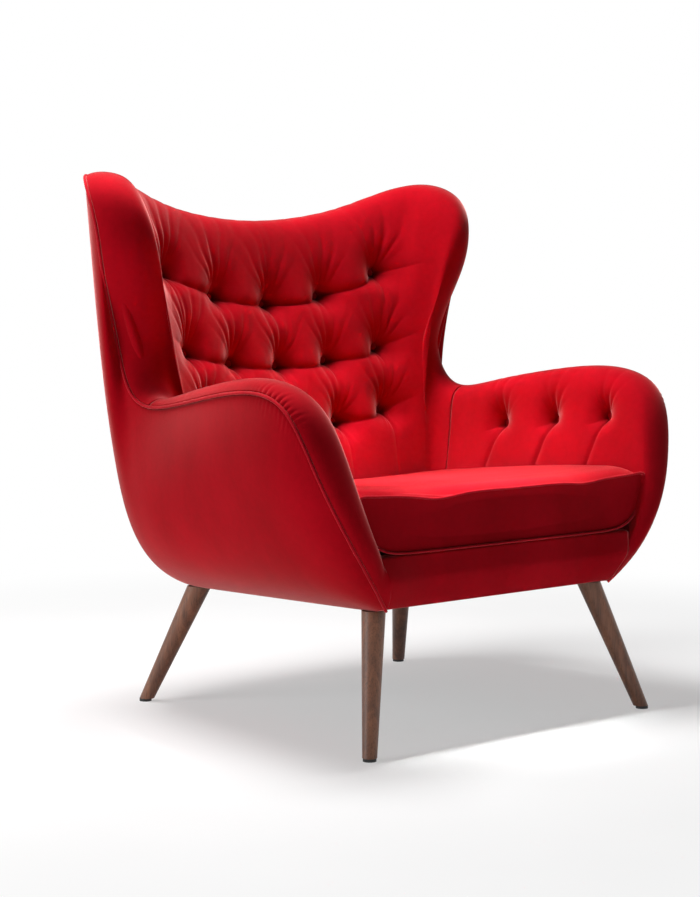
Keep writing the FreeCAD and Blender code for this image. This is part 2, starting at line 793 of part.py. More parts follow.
def make_springs():
    """Sinuous wires across the frame from front to back, held by a clip at each end."""
    wire_radius = 1.9
    height = RAIL_HEIGHT + 4.0
    count = 5
    runs = 13
    half_run = 20.0
    lead = 12.0
    y_front = FRAME_FRONT + RAIL_THICK / 2
    y_back = FRAME_BACK - RAIL_THICK / 2
    bend = (y_back - y_front - 2 * lead) / (2 * runs + 2)

    moves = [("straight", lead), ("turn", 90), ("straight", half_run - bend)]
    for i in range(runs):
        moves.append(("turn", -180 if i % 2 == 0 else 180))
        moves.append(("straight", 2 * half_run))
    moves[-1] = ("straight", half_run - bend)
    moves += [("turn", 90), ("straight", lead)]
    spring = bent_wire(Vector(0, y_front, height), Vector(0, 1, 0), moves, bend, wire_radius)
    clip = box(-7, 7, -8, 8, RAIL_HEIGHT + 0.3, RAIL_HEIGHT + 7.5)
    springs = []
    clips = []
    for x in steps(-170, 170, count):
        springs.append(on_frame(spring.translated(Vector(x, 0, 0))))
        for y, inwards in ((y_front, 1), (y_back, -1)):
            held = clip.translated(Vector(x, y - inwards * 3, 0))
            room = box(x - 4, x + 4, y - 5, y + 5, height - 2.4, height + 2.4)
            y0, y1 = sorted((y, y + inwards * 12))
            mouth = box(x - 6, x + 6, y0, y1, height - 2.4, height + 2.4)
            clips.append(on_frame(held.cut(room).cut(mouth)))
    save("seat_springs", *springs)
    save("spring_clips", *clips)


def make_deck_and_dust_cover():
    save("seat_deck", on_frame(box(-258, 258, FRAME_FRONT + 2, 262, DECK_UNDER, DECK_UNDER + DECK_THICK)))
    sheet = box(-262, 262, -276, 312, 0.4, 2.2)
    upright = [edge for edge in sheet.Edges if edge.BoundBox.ZLength > 1]
    sheet = sheet.makeFillet(70, [edge for edge in upright if edge.BoundBox.YMin > 0])
    for name, side, foot, top, half_width, y0, y1 in CORNERS:
        sheet = sheet.cut(Part.makeCylinder(BOSS_RADIUS + 3, 10, Vector(side * top[0], top[1], -4)))
    save("dust_cover", on_frame(sheet))


make_legs()
make_rails()
make_springs()
make_deck_and_dust_cover()


# Loose seat cushion

CUSHION_BOTTOM = DECK_UNDER + DECK_THICK + 0.5


def cushion_lattice(inset):
    """Control points of the cushion, drawn in by an inset on every side."""
    lattice = []
    for share in even_shares(15):
        across = 2 * share - 1
        sheet = []
        for back in even_shares(12):
            row = []
            for up in even_shares(8):
                y = CUSHION_FRONT + inset + (CUSHION_BACK - CUSHION_FRONT - 2 * inset) * back
                level = CUSHION_BOTTOM + inset + (CUSHION_HEIGHT - 2 * inset) * up
                swell = (1 - across ** 4) * (1 - (2 * back - 1) ** 4)
                z = underside(y) + level + CUSHION_CROWN * swell * up
                half = arm_x(y, z) - CUSHION_CLEAR - inset
                if back == 0:
                    y -= 10 * (1 - across ** 4) * 4 * up * (1 - up)
                row.append(Vector(half * across, y, z))
            sheet.append(row)
        lattice.append(sheet)
    return lattice


def make_cushion():
    lattice = cushion_lattice(0)
    hollow = spline_block(cushion_lattice(COVER_THICK))
    save("cushion_cover", spline_block(lattice).cut(hollow))
    save("cushion_core", spline_block(cushion_lattice(COVER_THICK + LAYER_GAP)))
    return lattice


def make_piping(lattice):
    """One cord round the front panel of the cushion."""
    lift = PIPING_RADIUS + 1.5
    bottom = [sheet[0][0] for sheet in lattice]
    right = lattice[-1][0]
    top = [sheet[0][-1] for sheet in lattice][::-1]
    left = lattice[0][0][::-1]
    middle = len(bottom) // 2
    loop = bottom[middle:-1] + right[1:-1] + top[1:-1] + left[1:-1] + bottom[1:middle + 1]
    path = [Vector(p.x, CUSHION_FRONT - lift, p.z) for p in loop]
    path[0].x += 0.5
    path[-1].x -= 0.5
    save("cushion_piping", cord(path, [Vector(0, 1, 0)] * len(path), PIPING_RADIUS, 241))


def make_zip():
    """Zip tape along the back of the cushion cover, and its slider at the middle."""
    middle = underside(CUSHION_BACK) + CUSHION_BOTTOM + CUSHION_HEIGHT / 2
    face = CUSHION_BACK + 0.6
    half = ZIP_LENGTH / 2
    tape = box(-half, half, face, face + 1.0, middle - ZIP_WIDTH / 2, middle + ZIP_WIDTH / 2)
    teeth = box(-half, half, face + 1.0, face + 2.0, middle - 2, middle + 2)
    save("zip_tape", tape.fuse(teeth).removeSplitter())
    body = box(-7, 7, face + 2.5, face + 5.0, middle - 5, middle + 5)
    pull = box(-17, -6, face + 3.2, face + 4.4, middle - 3, middle + 3)
    save("zip_slider", body.fuse(pull).removeSplitter())


make_piping(make_cushion())
make_zip()
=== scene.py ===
import json
import math
import bpy
import numpy as np
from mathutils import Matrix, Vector

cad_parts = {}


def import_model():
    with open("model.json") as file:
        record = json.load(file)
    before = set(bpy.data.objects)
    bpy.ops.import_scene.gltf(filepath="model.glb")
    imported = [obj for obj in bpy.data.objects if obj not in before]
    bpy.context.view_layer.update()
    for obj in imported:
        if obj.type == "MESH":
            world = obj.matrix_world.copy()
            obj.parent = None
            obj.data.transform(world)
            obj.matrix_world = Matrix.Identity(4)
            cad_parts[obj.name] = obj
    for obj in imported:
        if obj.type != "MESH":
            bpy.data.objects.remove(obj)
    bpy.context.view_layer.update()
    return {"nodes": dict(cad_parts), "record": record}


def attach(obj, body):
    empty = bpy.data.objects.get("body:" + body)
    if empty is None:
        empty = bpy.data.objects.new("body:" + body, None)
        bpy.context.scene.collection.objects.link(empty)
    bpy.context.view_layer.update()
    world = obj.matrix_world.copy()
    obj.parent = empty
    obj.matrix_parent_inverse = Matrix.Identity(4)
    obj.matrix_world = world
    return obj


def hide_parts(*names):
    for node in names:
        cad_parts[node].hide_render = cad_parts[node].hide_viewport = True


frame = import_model()

# The tables are in millimetres from the middle between the feet, as in the part's source
MM = 0.001
DEPTH_OFFSET = 58.4
UNDERSIDE_FRONT = 239.0
UNDERSIDE_FALL = 0.027
WELT_RADIUS = 2.6
WELT_ROOM = 3.6
PANEL_THICK = 5.0
PAD_DECK = 352.0

WELT_LINE = np.array([
    (0, 452, 886), (120, 449, 895), (235, 437, 917), (345, 410, 962), (430, 372, 1003), (470, 300, 970),
    (461, 276, 890), (449, 284, 820), (413, 305, 735), (395, 307, 660), (399, 275, 590), (402, 215, 562),
    (417, 95, 577), (441, -50, 603), (459, -195, 617), (461, -275, 585), (434, -306, 480), (385, -333, 368),
    (322, -327, 287), (275, -301, 241)], float)
WAIST = 11
LAST = len(WELT_LINE) - 1

CREST_ROLL = [(0, 4, 26), (0, -34, 34), (0, -74, 10)]
WING_TOP_ROLL = [(-4, -22, 8), (-42, -69, 1), (-83, -74, -35)]
WING_TIP_ROLL = [(-4, -22, 3), (-49, -72, -6), (-95, -72, -40)]
WING_ROLL = [(-8, -26, 0), (-44, -66, 0), (-96, -58, -4)]
WAIST_ROLL = [(-6, -12, 14), (-36, -22, 18), (-62, -20, 0)]
ARM_ROLL = [(-4, 0, 20), (-38, 0, 30), (-80, 0, 10)]
CORNER_ROLL = [(-6, -14, 10), (-36, -28, 16), (-84, -12, 4)]
FRONT_ROLL = [(-6, -16, 2), (-34, -26, 2), (-74, -12, 0)]
LOW_ROLL = [(-6, -14, 2), (-26, -20, 4), (-50, -8, 4)]
KNEE_ROLL = [(-4, -10, 4), (-12, -12, 18), (-20, -6, 36)]
FOOT_ROLL = [(3, -7, 12), (9, -14, 32), (18, -18, 50)]
LOW_WING_ROLL = [(-7, -22, 4), (-41, -53, 5), (-86, -46, -3)]
NEAR_WAIST_ROLL = [(-6, -16, 9), (-38, -36, 12), (-73, -32, -1)]
ROLLS = np.array([CREST_ROLL] * 4 + [WING_TOP_ROLL, WING_TIP_ROLL] + [WING_ROLL] * 3
                 + [LOW_WING_ROLL, NEAR_WAIST_ROLL, WAIST_ROLL] + [ARM_ROLL] * 3
                 + [CORNER_ROLL, FRONT_ROLL, LOW_ROLL, KNEE_ROLL, FOOT_ROLL], float)

BACK_DECK_X = [0, 62, 120, 168, 205, 232, 250, 263, 273, 281, 287]
ARM_DECK = [(291, 166, 352), (296, 110, 352), (308, -20, 352), (320, -140, 352), (330, -215, 352),
            (334, -262, 352), (334, -296, 352), (322, -312, 343), (305, -317, 333)]

OUTSIDE = [
    [(0, 330), (0, 405, 256), (0, 444, 460), (0, 472, 740)],
    [(65, 330), (85, 404, 256), (90, 442, 460), (105, 470, 740)],
    [(130, 329), (165, 401, 256), (180, 438, 460), (205, 463, 740)],
    [(190, 325), (238, 392, 257), (268, 424, 460), (300, 449, 740)],
    [(234, 312), (295, 375, 258), (334, 400, 460), (367, 417, 740)],
    [(260, 290), (340, 342, 259), (380, 358, 460), (412, 367, 740)],
    [(270, 262), (358, 305, 260), (404, 322, 450), (424, 333, 690)],
    [(275, 235), (366, 270, 261), (416, 293, 440), (417, 314, 640)],
    [(277, 210), (370, 240, 262), (422, 267, 430), (402, 299, 590)],
    [(278, 185), (372, 210, 262), (426, 238, 420), (400, 280, 550)],
    [(279, 155), (373, 180, 262), (430, 204, 412), (405, 247, 520)],
    [(279, 115), (374, 140, 262), (433, 150, 405), (414, 195, 505)],
    [(280, 50), (375, 60, 262), (437, 70, 405), (435, 85, 510)],
    [(280, -40), (375, -40, 263), (442, -45, 405), (453, -50, 520)],
    [(281, -120), (374, -130, 263), (444, -150, 405), (465, -180, 520)],
    [(281, -180), (368, -190, 263), (436, -215, 390), (462, -250, 490)],
    [(281, -220), (348, -232, 260), (402, -262, 330), (427, -292, 405)],
    [(280, -248), (324, -268, 255), (356, -297, 288), (376, -320, 328)],
    [(279, -270), (298, -288, 248), (312, -304, 261), (320, -318, 274)],
    [(277, -280), (277, -284, 239.5), (276.5, -288, 240), (276, -292, 240.4)],
]

BACK_TUFT_ROWS = [(751, 133, 0.88e-3), (629, 120, 0.55e-3), (510, 112, 0.55e-3)]
ARM_TUFT_Y = [50, -75, -200]


# Splines

def basis(count, t):
    """Values of the clamped uniform B-spline basis functions."""
    degree = min(3, count - 1)
    knots = np.concatenate([np.zeros(degree), np.linspace(0, 1, count - degree + 1), np.ones(degree)])
    t = np.clip(np.asarray(t, float), 0, 1 - 1e-12)[:, None]
    values = ((t >= knots[:-1]) & (t < knots[1:])).astype(float)
    for d in range(1, degree + 1):
        rise = knots[d:-1] - knots[:-d - 1]
        fall = knots[d + 1:] - knots[1:-d]
        up = np.divide(t - knots[:-d - 1], rise, out=np.zeros((len(t), len(rise))), where=rise > 0)
        down = np.divide(knots[d + 1:] - t, fall, out=np.zeros((len(t), len(fall))), where=fall > 0)
        values = up * values[:, :-1] + down * values[:, 1:]
    return values


def surface(net, u, v):
    return np.einsum("ai,bj,ijk->abk", basis(net.shape[0], u), basis(net.shape[1], v), net)


def curve(points, t):
    return basis(len(points), t) @ points


def unit(vectors):
    return vectors / np.maximum(np.linalg.norm(vectors, axis=-1, keepdims=True), 1e-12)


def normals(grid):
    """Unit normals of a grid of points."""
    return unit(np.cross(np.gradient(grid, axis=0), np.gradient(grid, axis=1)))


def facing(sheet_normals, towards):
    """The normals of a sheet, all turned over if the middle one points away from a given way."""
    rows, columns = sheet_normals.shape[:2]
    return sheet_normals if sheet_normals[rows // 2, columns // 2] @ towards > 0 else -sheet_normals


def run_along(line):
    """Distance of each point of a line from its start, measured along it."""
    return np.concatenate([[0], np.cumsum(np.linalg.norm(np.diff(line, axis=0), axis=1))])


def station_u(station):
    """Surface parameter of a station, negative on the left half."""
    even = 0.5 / (LAST - 1)
    share = np.interp(np.abs(station), [0, LAST - 2, LAST - 1, LAST],
                      [0, (LAST - 2) * even, 0.5 - even / 3, 0.5])
    return 0.5 + np.copysign(share, station)


def smooth(value, low, high):
    """Rises smoothly from 0 at low to 1 at high."""
    t = np.clip((value - low) / (high - low), 0, 1)
    return t * t * (3 - 2 * t)


# Control nets of the upholstered body

def underside(y):
    return UNDERSIDE_FRONT - UNDERSIDE_FALL * (y + 290)


def back_y(x, z):
    middle = np.interp(z, [330, 450, 510, 630, 750, 850, 950], [208, 234, 250, 302, 342, 368, 388])
    hollow = np.interp(z, [430, 600], [0.28e-3, 0.56e-3])
    return middle - hollow * x * x


def arm_x(y, z):
    return 330 + 0.085 * (200 - y) + 0.25 * (z - 540)


def deck_point(station):
    if station < WAIST:
        x = BACK_DECK_X[station]
        return np.array([x, back_y(x, PAD_DECK), PAD_DECK])
    return np.array(ARM_DECK[station - WAIST], float)


def pad_rows(station):
    welt = WELT_LINE[station]
    roll = welt + ROLLS[station]
    deck = deck_point(station)
    rows = [welt + unit(ROLLS[station][0]) * WELT_ROOM] + list(roll)
    for share in (0.22, 0.50, 0.78):
        point = roll[2] + (deck - roll[2]) * share
        if station < 4:
            point[1] = back_y(point[0], point[2])
        elif station < WAIST:
            weight = min(1, share / 0.5)
            point[1] = point[1] * (1 - weight) + back_y(point[0], point[2]) * weight
        elif WAIST < station <= 17:
            point[0] = arm_x(point[1], point[2])
        rows.append(point)
    return np.array(rows + [deck])


def backing_rows(station):
    welt = WELT_LINE[station]
    top = welt + unit(ROLLS[station][2]) * 15
    low_tops = {17: (-11, 13, 2), 18: (-11, 15, 12), LAST: (-3, 10, 15)}
    if station in low_tops:
        top = welt + np.array(low_tops[station])
    knees = [5, 8, 11, 12, 15, 16, 17, 18, 19]
    shift = np.array([np.interp(station, knees, [0, 16, 45, 48, 48, 40, 22, 0, -5]),
                      np.interp(station, knees, [58, 54, 45, 0, 0, 14, 26, 27, 27]), 0])
    bottom = deck_point(station) + shift
    return np.array([top + (bottom - top) * share for share in (0, 0.04, 0.08, 0.13, 0.32, 0.55, 0.8, 1)])


def outside_rows(station):
    x, y = OUTSIDE[station][0]
    high = np.array(OUTSIDE[station][1:], float)
    welt = WELT_LINE[station]
    gap = np.linalg.norm(high[-1] - welt)
    end = welt + unit(high[-1] - welt) * min(WELT_ROOM, 0.5 * gap)
    return np.array([(x, y, underside(y)), *high, end])


def whole_width(rows_at):
    right = np.array([rows_at(station) for station in range(LAST + 1)])
    return np.concatenate([right[:0:-1] * (-1, 1, 1), right])


PAD = whole_width(pad_rows)
BACKING = whole_width(backing_rows)
OUTER = whole_width(outside_rows)


# Mesh helpers

def to_part(points):
    """Metres in the part's frame, from millimetres in the frame of the tables."""
    return (np.asarray(points).reshape(-1, 3) - (0, DEPTH_OFFSET, 0)) * MM


def quad_mesh(name, points, quads, flat=0):
    """A smooth mesh of quads; the last ones of the list may be flat, which keeps their edges sharp."""
    mesh = bpy.data.meshes.new(name)
    mesh.vertices.add(len(points))
    mesh.vertices.foreach_set("co", np.asarray(points, np.float32).ravel())
    mesh.loops.add(4 * len(quads))
    mesh.loops.foreach_set("vertex_index", np.asarray(quads, np.int32).ravel())
    mesh.polygons.add(len(quads))
    mesh.polygons.foreach_set("loop_start", np.arange(0, 4 * len(quads), 4, dtype=np.int32))
    mesh.polygons.foreach_set("use_smooth", np.arange(len(quads)) < len(quads) - flat)
    mesh.update(calc_edges=True)
    mesh.validate()
    return add_object(name, mesh)


def add_object(name, data):
    piece = bpy.data.objects.new(name, data)
    bpy.context.scene.collection.objects.link(piece)
    return piece


def cells(index, turned=False):
    """The quads of a grid of vertex numbers, with their other side out where turned."""
    second = index[1:, :-1]
    fourth = index[:-1, 1:]
    if turned:
        second, fourth = fourth, second
    return np.stack([index[:-1, :-1], second, index[1:, 1:], fourth], -1).reshape(-1, 4)


def closed_round(index):
    """A grid of vertex numbers whose last column is its first one again."""
    return np.concatenate([index, index[:, :1]], 1)


def closed_pad(name, front, back):
    """A closed mesh between two grids of the same size, with walls along the four edges."""
    rows, columns = front.shape[:2]
    size = rows * columns
    index = np.arange(size).reshape(rows, columns)
    rim = np.concatenate([index[:-1, 0], index[-1, :-1], index[:0:-1, -1], index[0, :0:-1]])
    after = np.roll(rim, -1)
    walls = np.stack([rim, rim + size, after + size, after], -1)
    quads = np.concatenate([cells(index), cells(size + index)[:, ::-1], walls])
    middle = normals(front)[rows // 2, columns // 2]
    if middle @ (front - back)[rows // 2, columns // 2] < 0:
        quads = quads[:, ::-1]
    points = to_part(np.concatenate([front.reshape(-1, 3), back.reshape(-1, 3)]))
    return quad_mesh(name, points, quads, flat=len(walls))


def tube_points(path, radius, sides, closed=False):
    """Rings of points round a path, with a frame carried along it without twist."""
    if closed:
        tangent = unit(np.roll(path, -1, axis=0) - np.roll(path, 1, axis=0))
    else:
        tangent = unit(np.gradient(path, axis=0))
    side = np.zeros_like(path)
    start = np.cross(tangent[0], (0.3, 0.5, 0.8))
    for i, along in enumerate(tangent):
        start = start - along * (start @ along)
        start = start / np.linalg.norm(start)
        side[i] = start
    other = np.cross(tangent, side)
    angle = np.linspace(0, 2 * math.pi, sides, endpoint=False)
    ring = np.cos(angle)[None, :, None] * side[:, None] + np.sin(angle)[None, :, None] * other[:, None]
    return path[:, None] + ring * np.reshape(radius, (-1, 1, 1))


def tube(name, path, radius, sides=12, closed=False):
    rings = tube_points(path, np.broadcast_to(radius, len(path)), sides, closed)
    count = len(path)
    index = closed_round(np.arange(count * sides).reshape(count, sides))
    points = rings.reshape(-1, 3)
    if closed:
        index = np.concatenate([index, index[:1]])
    quads = cells(index, turned=True)
    if not closed:
        points, quads = with_caps(points, quads, index, path)
    return quad_mesh(name, to_part(points), quads)


def with_caps(points, quads, index, path):
    """Closes both ends of a tube with quads that meet in the middle of the end."""
    first = len(points)
    points = np.concatenate([points, path[[0, -1]]])
    half = np.arange(0, index.shape[1] - 1, 2)
    middle = np.full(len(half), first)
    near = index[0]
    far = index[-1]
    start = np.stack([middle, near[half + 2], near[half + 1], near[half]], -1)
    end = np.stack([middle + 1, far[half], far[half + 1], far[half + 2]], -1)
    return points, np.concatenate([quads, start, end])


def set_attribute(piece, name, values):
    layer = piece.data.attributes.new(name, "FLOAT", "POINT")
    layer.data.foreach_set("value", np.asarray(values, np.float32).ravel())


def paint_crease_shade(piece, shade):
    """Stores painted shade for each point on the front of a pad, darkest in its creases; its hidden side
    stays plain.
    """
    set_attribute(piece, "crease", np.concatenate([shade.ravel(), np.zeros(shade.size)]))


def finish_piece(piece, slot, *nodes, body="chair", fill=None):
    """Material, body, slot and the solids that a piece stands for."""
    piece.data.materials.append(MATERIALS[slot])
    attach(piece, body)
    if nodes:
        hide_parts(*nodes)
    return piece


# Materials

class Nodes:
    """A material's node tree with short ways to add and link nodes."""

    def __init__(self, name):
        self.material = bpy.data.materials.new(name)
        self.material.use_nodes = True
        self.tree = self.material.node_tree
        self.shader = self.tree.nodes["Principled BSDF"]
        self.place = self.add("ShaderNodeTexCoord").outputs["Object"]

    def add(self, kind, **inputs):
        node = self.tree.nodes.new(kind)
        for key, value in inputs.items():
            self.put(node.inputs[key.replace("_", " ")], value)
        return node

    def put(self, socket, value):
        if isinstance(value, bpy.types.NodeSocket):
            self.tree.links.new(value, socket)
        else:
            socket.default_value = value

    def scaled(self, scale, turn=(0, 0, 0)):
        mapping = self.add("ShaderNodeMapping", Vector=self.place, Scale=scale, Rotation=turn)
        return mapping.outputs["Vector"]

    def noise(self, scale, detail=2.0, vector=None, roughness=0.5):
        node = self.add("ShaderNodeTexNoise", Vector=vector or self.place, Scale=scale, Detail=detail,
                        Roughness=roughness)
        return node.outputs["Fac"]

    def ramp(self, value, *stops):
        node = self.add("ShaderNodeValToRGB", Fac=value)
        elements = node.color_ramp.elements
        while len(elements) < len(stops):
            elements.new(0.5)
        for element, (position, colour) in zip(elements, stops):
            element.position = position
            element.color = (*colour, 1)
        return node.outputs["Color"]

    def spread(self, value, low, high):
        node = self.add("ShaderNodeMapRange", Value=value, To_Min=low, To_Max=high)
        return node.outputs["Result"]

    def math(self, operation, a, b):
        node = self.tree.nodes.new("ShaderNodeMath")
        node.operation = operation
        self.put(node.inputs[0], a)
        self.put(node.inputs[1], b)
        return node.outputs["Value"]

    def mix(self, share, a, b, kind="MIX"):
        node = self.tree.nodes.new("ShaderNodeMix")
        node.data_type = "RGBA"
        node.blend_type = kind
        self.put(node.inputs["Factor"], share)
        self.put(node.inputs["A"], a)
        self.put(node.inputs["B"], b)
        return node.outputs["Result"]

    def bump(self, height, strength, distance, base=None):
        node = self.add("ShaderNodeBump", Height=height, Strength=strength, Distance=distance)
        if base is not None:
            self.put(node.inputs["Normal"], base)
        return node.outputs["Normal"]

    def set(self, **inputs):
        for key, value in inputs.items():
            self.put(self.shader.inputs[key.replace("_", " ")], value)
        return self.material


def velvet(name, deep, bright, painted_crease_shade=True):
    """Short pile velvet: a brushed nap in soft patches, with painted shade in its creases, and a sheen."""
    n = Nodes(name)
    nap = n.noise(7.0, 3.0, n.scaled((1.0, 1.0, 0.45)), 0.6)
    mottle = n.noise(90.0, 3.0)
    pile = n.noise(1500.0, 1.0)
    tone = n.math("ADD", n.math("MULTIPLY", nap, 0.75), n.math("MULTIPLY", mottle, 0.25))
    colour = n.ramp(tone, (0.32, deep), (0.68, bright))
    # Painted shade: where the crease attribute is set (tuft pits, folds, along seams) the colour is
    # darkened towards 0.45 of the deep red.
    if painted_crease_shade:
        crease = n.add("ShaderNodeAttribute")
        crease.attribute_name = "crease"
        dark = tuple(0.45 * value for value in deep)
        colour = n.mix(crease.outputs["Fac"], colour, (*dark, 1))
    speck = n.spread(pile, 0.86, 1.12)
    colour = n.mix(1.0, colour, speck, "MULTIPLY")
    rough = n.spread(mottle, 0.78, 0.95)
    bump = n.bump(mottle, 0.08, 0.002)
    bump = n.bump(pile, 0.25, 0.0004, bump)
    return n.set(Base_Color=colour, Roughness=rough, Normal=bump, Sheen_Weight=1.0, Sheen_Roughness=0.32,
                 Sheen_Tint=(1.0, 0.40, 0.38, 1), Specular_IOR_Level=0.03)


def wood(name, dark, light, grain_scale, roughness):
    """Grain that runs along the height of the object, with fine pores."""
    n = Nodes(name)
    warp = n.noise(9.0, 2.0, n.scaled((1, 1, 0.25)))
    bands = n.add("ShaderNodeTexNoise", Vector=n.scaled((1, 1, 0.06)), Scale=grain_scale, Detail=5.0,
                  Roughness=0.62, Distortion=0.7).outputs["Fac"]
    pores = n.noise(700.0, 2.0, n.scaled((1, 1, 0.03)))
    tone = n.math("ADD", n.math("MULTIPLY", bands, 0.7), n.math("MULTIPLY", warp, 0.3))
    middle = tuple((a + b) / 2 for a, b in zip(dark, light))
    colour = n.ramp(tone, (0.34, dark), (0.5, middle), (0.66, light))
    pore_colour = n.ramp(pores, (0.36, tuple(0.35 * value for value in dark)), (0.46, (1, 1, 1)))
    colour = n.mix(0.4, colour, pore_colour, "MULTIPLY")
    rough = n.spread(bands, roughness - 0.06, roughness + 0.1)
    bump = n.bump(pores, 0.25, 0.0004)
    return n.set(Base_Color=colour, Roughness=rough, Normal=bump, Coat_Weight=0.12, Coat_Roughness=0.35)


def cloth(name, dark, light, threads):
    """A plain woven or bonded lining."""
    n = Nodes(name)
    warp = n.add("ShaderNodeTexWave", Vector=n.place, Scale=threads, Distortion=0.6)
    warp.bands_direction = "X"
    weft = n.add("ShaderNodeTexWave", Vector=n.place, Scale=threads, Distortion=0.6)
    weft.bands_direction = "Y"
    weave = n.math("MULTIPLY", warp.outputs["Fac"], weft.outputs["Fac"])
    patch = n.noise(30.0, 3.0)
    tone = n.math("ADD", n.math("MULTIPLY", weave, 0.5), n.math("MULTIPLY", patch, 0.5))
    colour = n.ramp(tone, (0.2, dark), (0.8, light))
    return n.set(Base_Color=colour, Roughness=n.spread(patch, 0.85, 0.97),
                 Normal=n.bump(weave, 0.3, 0.0006), Sheen_Weight=0.15, Sheen_Roughness=0.5)


def foam(name):
    n = Nodes(name)
    cells = n.add("ShaderNodeTexVoronoi", Vector=n.place, Scale=420.0).outputs["Distance"]
    patch = n.noise(14.0, 3.0)
    colour = n.ramp(patch, (0.3, (0.72, 0.64, 0.42)), (0.7, (0.86, 0.80, 0.60)))
    colour = n.mix(0.35, colour, n.ramp(cells, (0.1, (0.45, 0.38, 0.22)), (0.5, (1, 1, 1))), "MULTIPLY")
    return n.set(Base_Color=colour, Roughness=n.spread(patch, 0.85, 0.95), Normal=n.bump(cells, 0.5, 0.001))


def metal(name, dark, light, roughness):
    n = Nodes(name)
    haze = n.noise(45.0, 4.0)
    brush = n.noise(900.0, 2.0, n.scaled((1, 0.04, 1)))
    colour = n.ramp(haze, (0.3, dark), (0.7, light))
    rough = n.math("ADD", n.spread(brush, roughness - 0.06, roughness + 0.06), n.spread(haze, 0.0, 0.06))
    return n.set(Base_Color=colour, Metallic=1.0, Roughness=rough, Normal=n.bump(brush, 0.08, 0.0002))


def plastic(name, dark, light):
    n = Nodes(name)
    grain = n.noise(600.0, 3.0)
    wear = n.noise(40.0, 4.0)
    colour = n.ramp(wear, (0.35, dark), (0.7, light))
    return n.set(Base_Color=colour, Roughness=n.spread(wear, 0.45, 0.65),
                 Normal=n.bump(grain, 0.15, 0.0003))


RED_DEEP = (0.34, 0.001, 0.006)
RED_BRIGHT = (0.50, 0.002, 0.011)
MATERIALS = {
    "velvet": velvet("velvet", RED_DEEP, RED_BRIGHT),
    # Lighter, pinker copy of the velvet for the welt and piping cords: a painted highlight.
    "welt_velvet": velvet("welt_velvet", (0.38, 0.004, 0.012), (0.64, 0.012, 0.026), painted_crease_shade=False),
    # Darker copy of the velvet for the covered buttons: painted shade of the tuft pits.
    "button_velvet": velvet("button_velvet", (0.22, 0.001, 0.005), (0.42, 0.003, 0.012), painted_crease_shade=False),
    "walnut": wood("walnut", (0.088, 0.030, 0.014), (0.33, 0.135, 0.068), 60.0, 0.45),
    "beech": wood("beech", (0.42, 0.27, 0.15), (0.66, 0.47, 0.29), 70.0, 0.6),
    "foam": foam("foam"),
    "lining_cloth": cloth("lining_cloth", (0.008, 0.008, 0.009), (0.032, 0.031, 0.032), 420.0),
    "jute_webbing": cloth("jute_webbing", (0.28, 0.19, 0.09), (0.55, 0.42, 0.24), 160.0),
    "zip_cloth": cloth("zip_cloth", (0.20, 0.002, 0.006), (0.36, 0.006, 0.016), 520.0),
    "zip_metal": metal("zip_metal", (0.42, 0.42, 0.43), (0.66, 0.65, 0.63), 0.3),
    "zinc_steel": metal("zinc_steel", (0.48, 0.48, 0.46), (0.70, 0.70, 0.69), 0.36),
    "spring_steel": metal("spring_steel", (0.16, 0.16, 0.17), (0.34, 0.34, 0.35), 0.4),
    "glide_nylon": plastic("glide_nylon", (0.010, 0.010, 0.010), (0.035, 0.034, 0.033)),
}

for subpart in frame["record"]["subparts"]:
    data = frame["nodes"][subpart["node"]].data
    data.materials.clear()
    data.materials.append(MATERIALS[subpart["material_slot"]])


# Tufts, pleats and creases: each gives how far the cloth is drawn in, in millimetres

SLOPE_ABOVE = 1.55
SLOPE_BELOW = 0.80


def tuft_pull(across, height, centres, depth, spread):
    """Pits with a long slope above the button and a short one below."""
    pull = np.zeros_like(across)
    for x, z in centres:
        dx = across - x
        dz = height - z
        dz = np.where(dz > 0, dz / SLOPE_ABOVE, dz / SLOPE_BELOW)
        distance = np.hypot(dx, dz)
        pull += 0.62 * np.exp(-(distance / spread) ** 2) + 0.46 * np.exp(-distance / (0.36 * spread))
    return depth * pull


def sharp_wave(phase):
    """A wave with broad round crests and narrow folds, from -0.5 to 1 where it is drawn in."""
    return 1.5 * (0.5 + 0.5 * np.cos(phase)) ** 2.5 - 0.5


def tuft_fans(across, height, centres, depth, reach, period):
    """Fine folds that spread upwards, and fewer downwards, from each button."""
    pull = np.zeros_like(across)
    for number, (x, z) in enumerate(centres):
        dx = across - x
        dz = height - z
        distance = np.hypot(dx, dz)
        up = np.arctan2(dx, dz)
        down = np.arctan2(dx, -dz)
        phase = 1.7 * number
        grow = (distance / reach) * np.exp(1 - distance / reach)
        sway = 0.5 * np.sin(distance / 13 + number)
        above = sharp_wave(2 * math.pi * up / period + phase + sway) * np.exp(-(up / 0.60) ** 4)
        below = sharp_wave(2 * math.pi * down / (1.3 * period) + phase) * np.exp(-(down / 0.75) ** 4)
        pull += depth * grow * (above + 0.5 * below * np.exp(-distance / reach))
    return pull


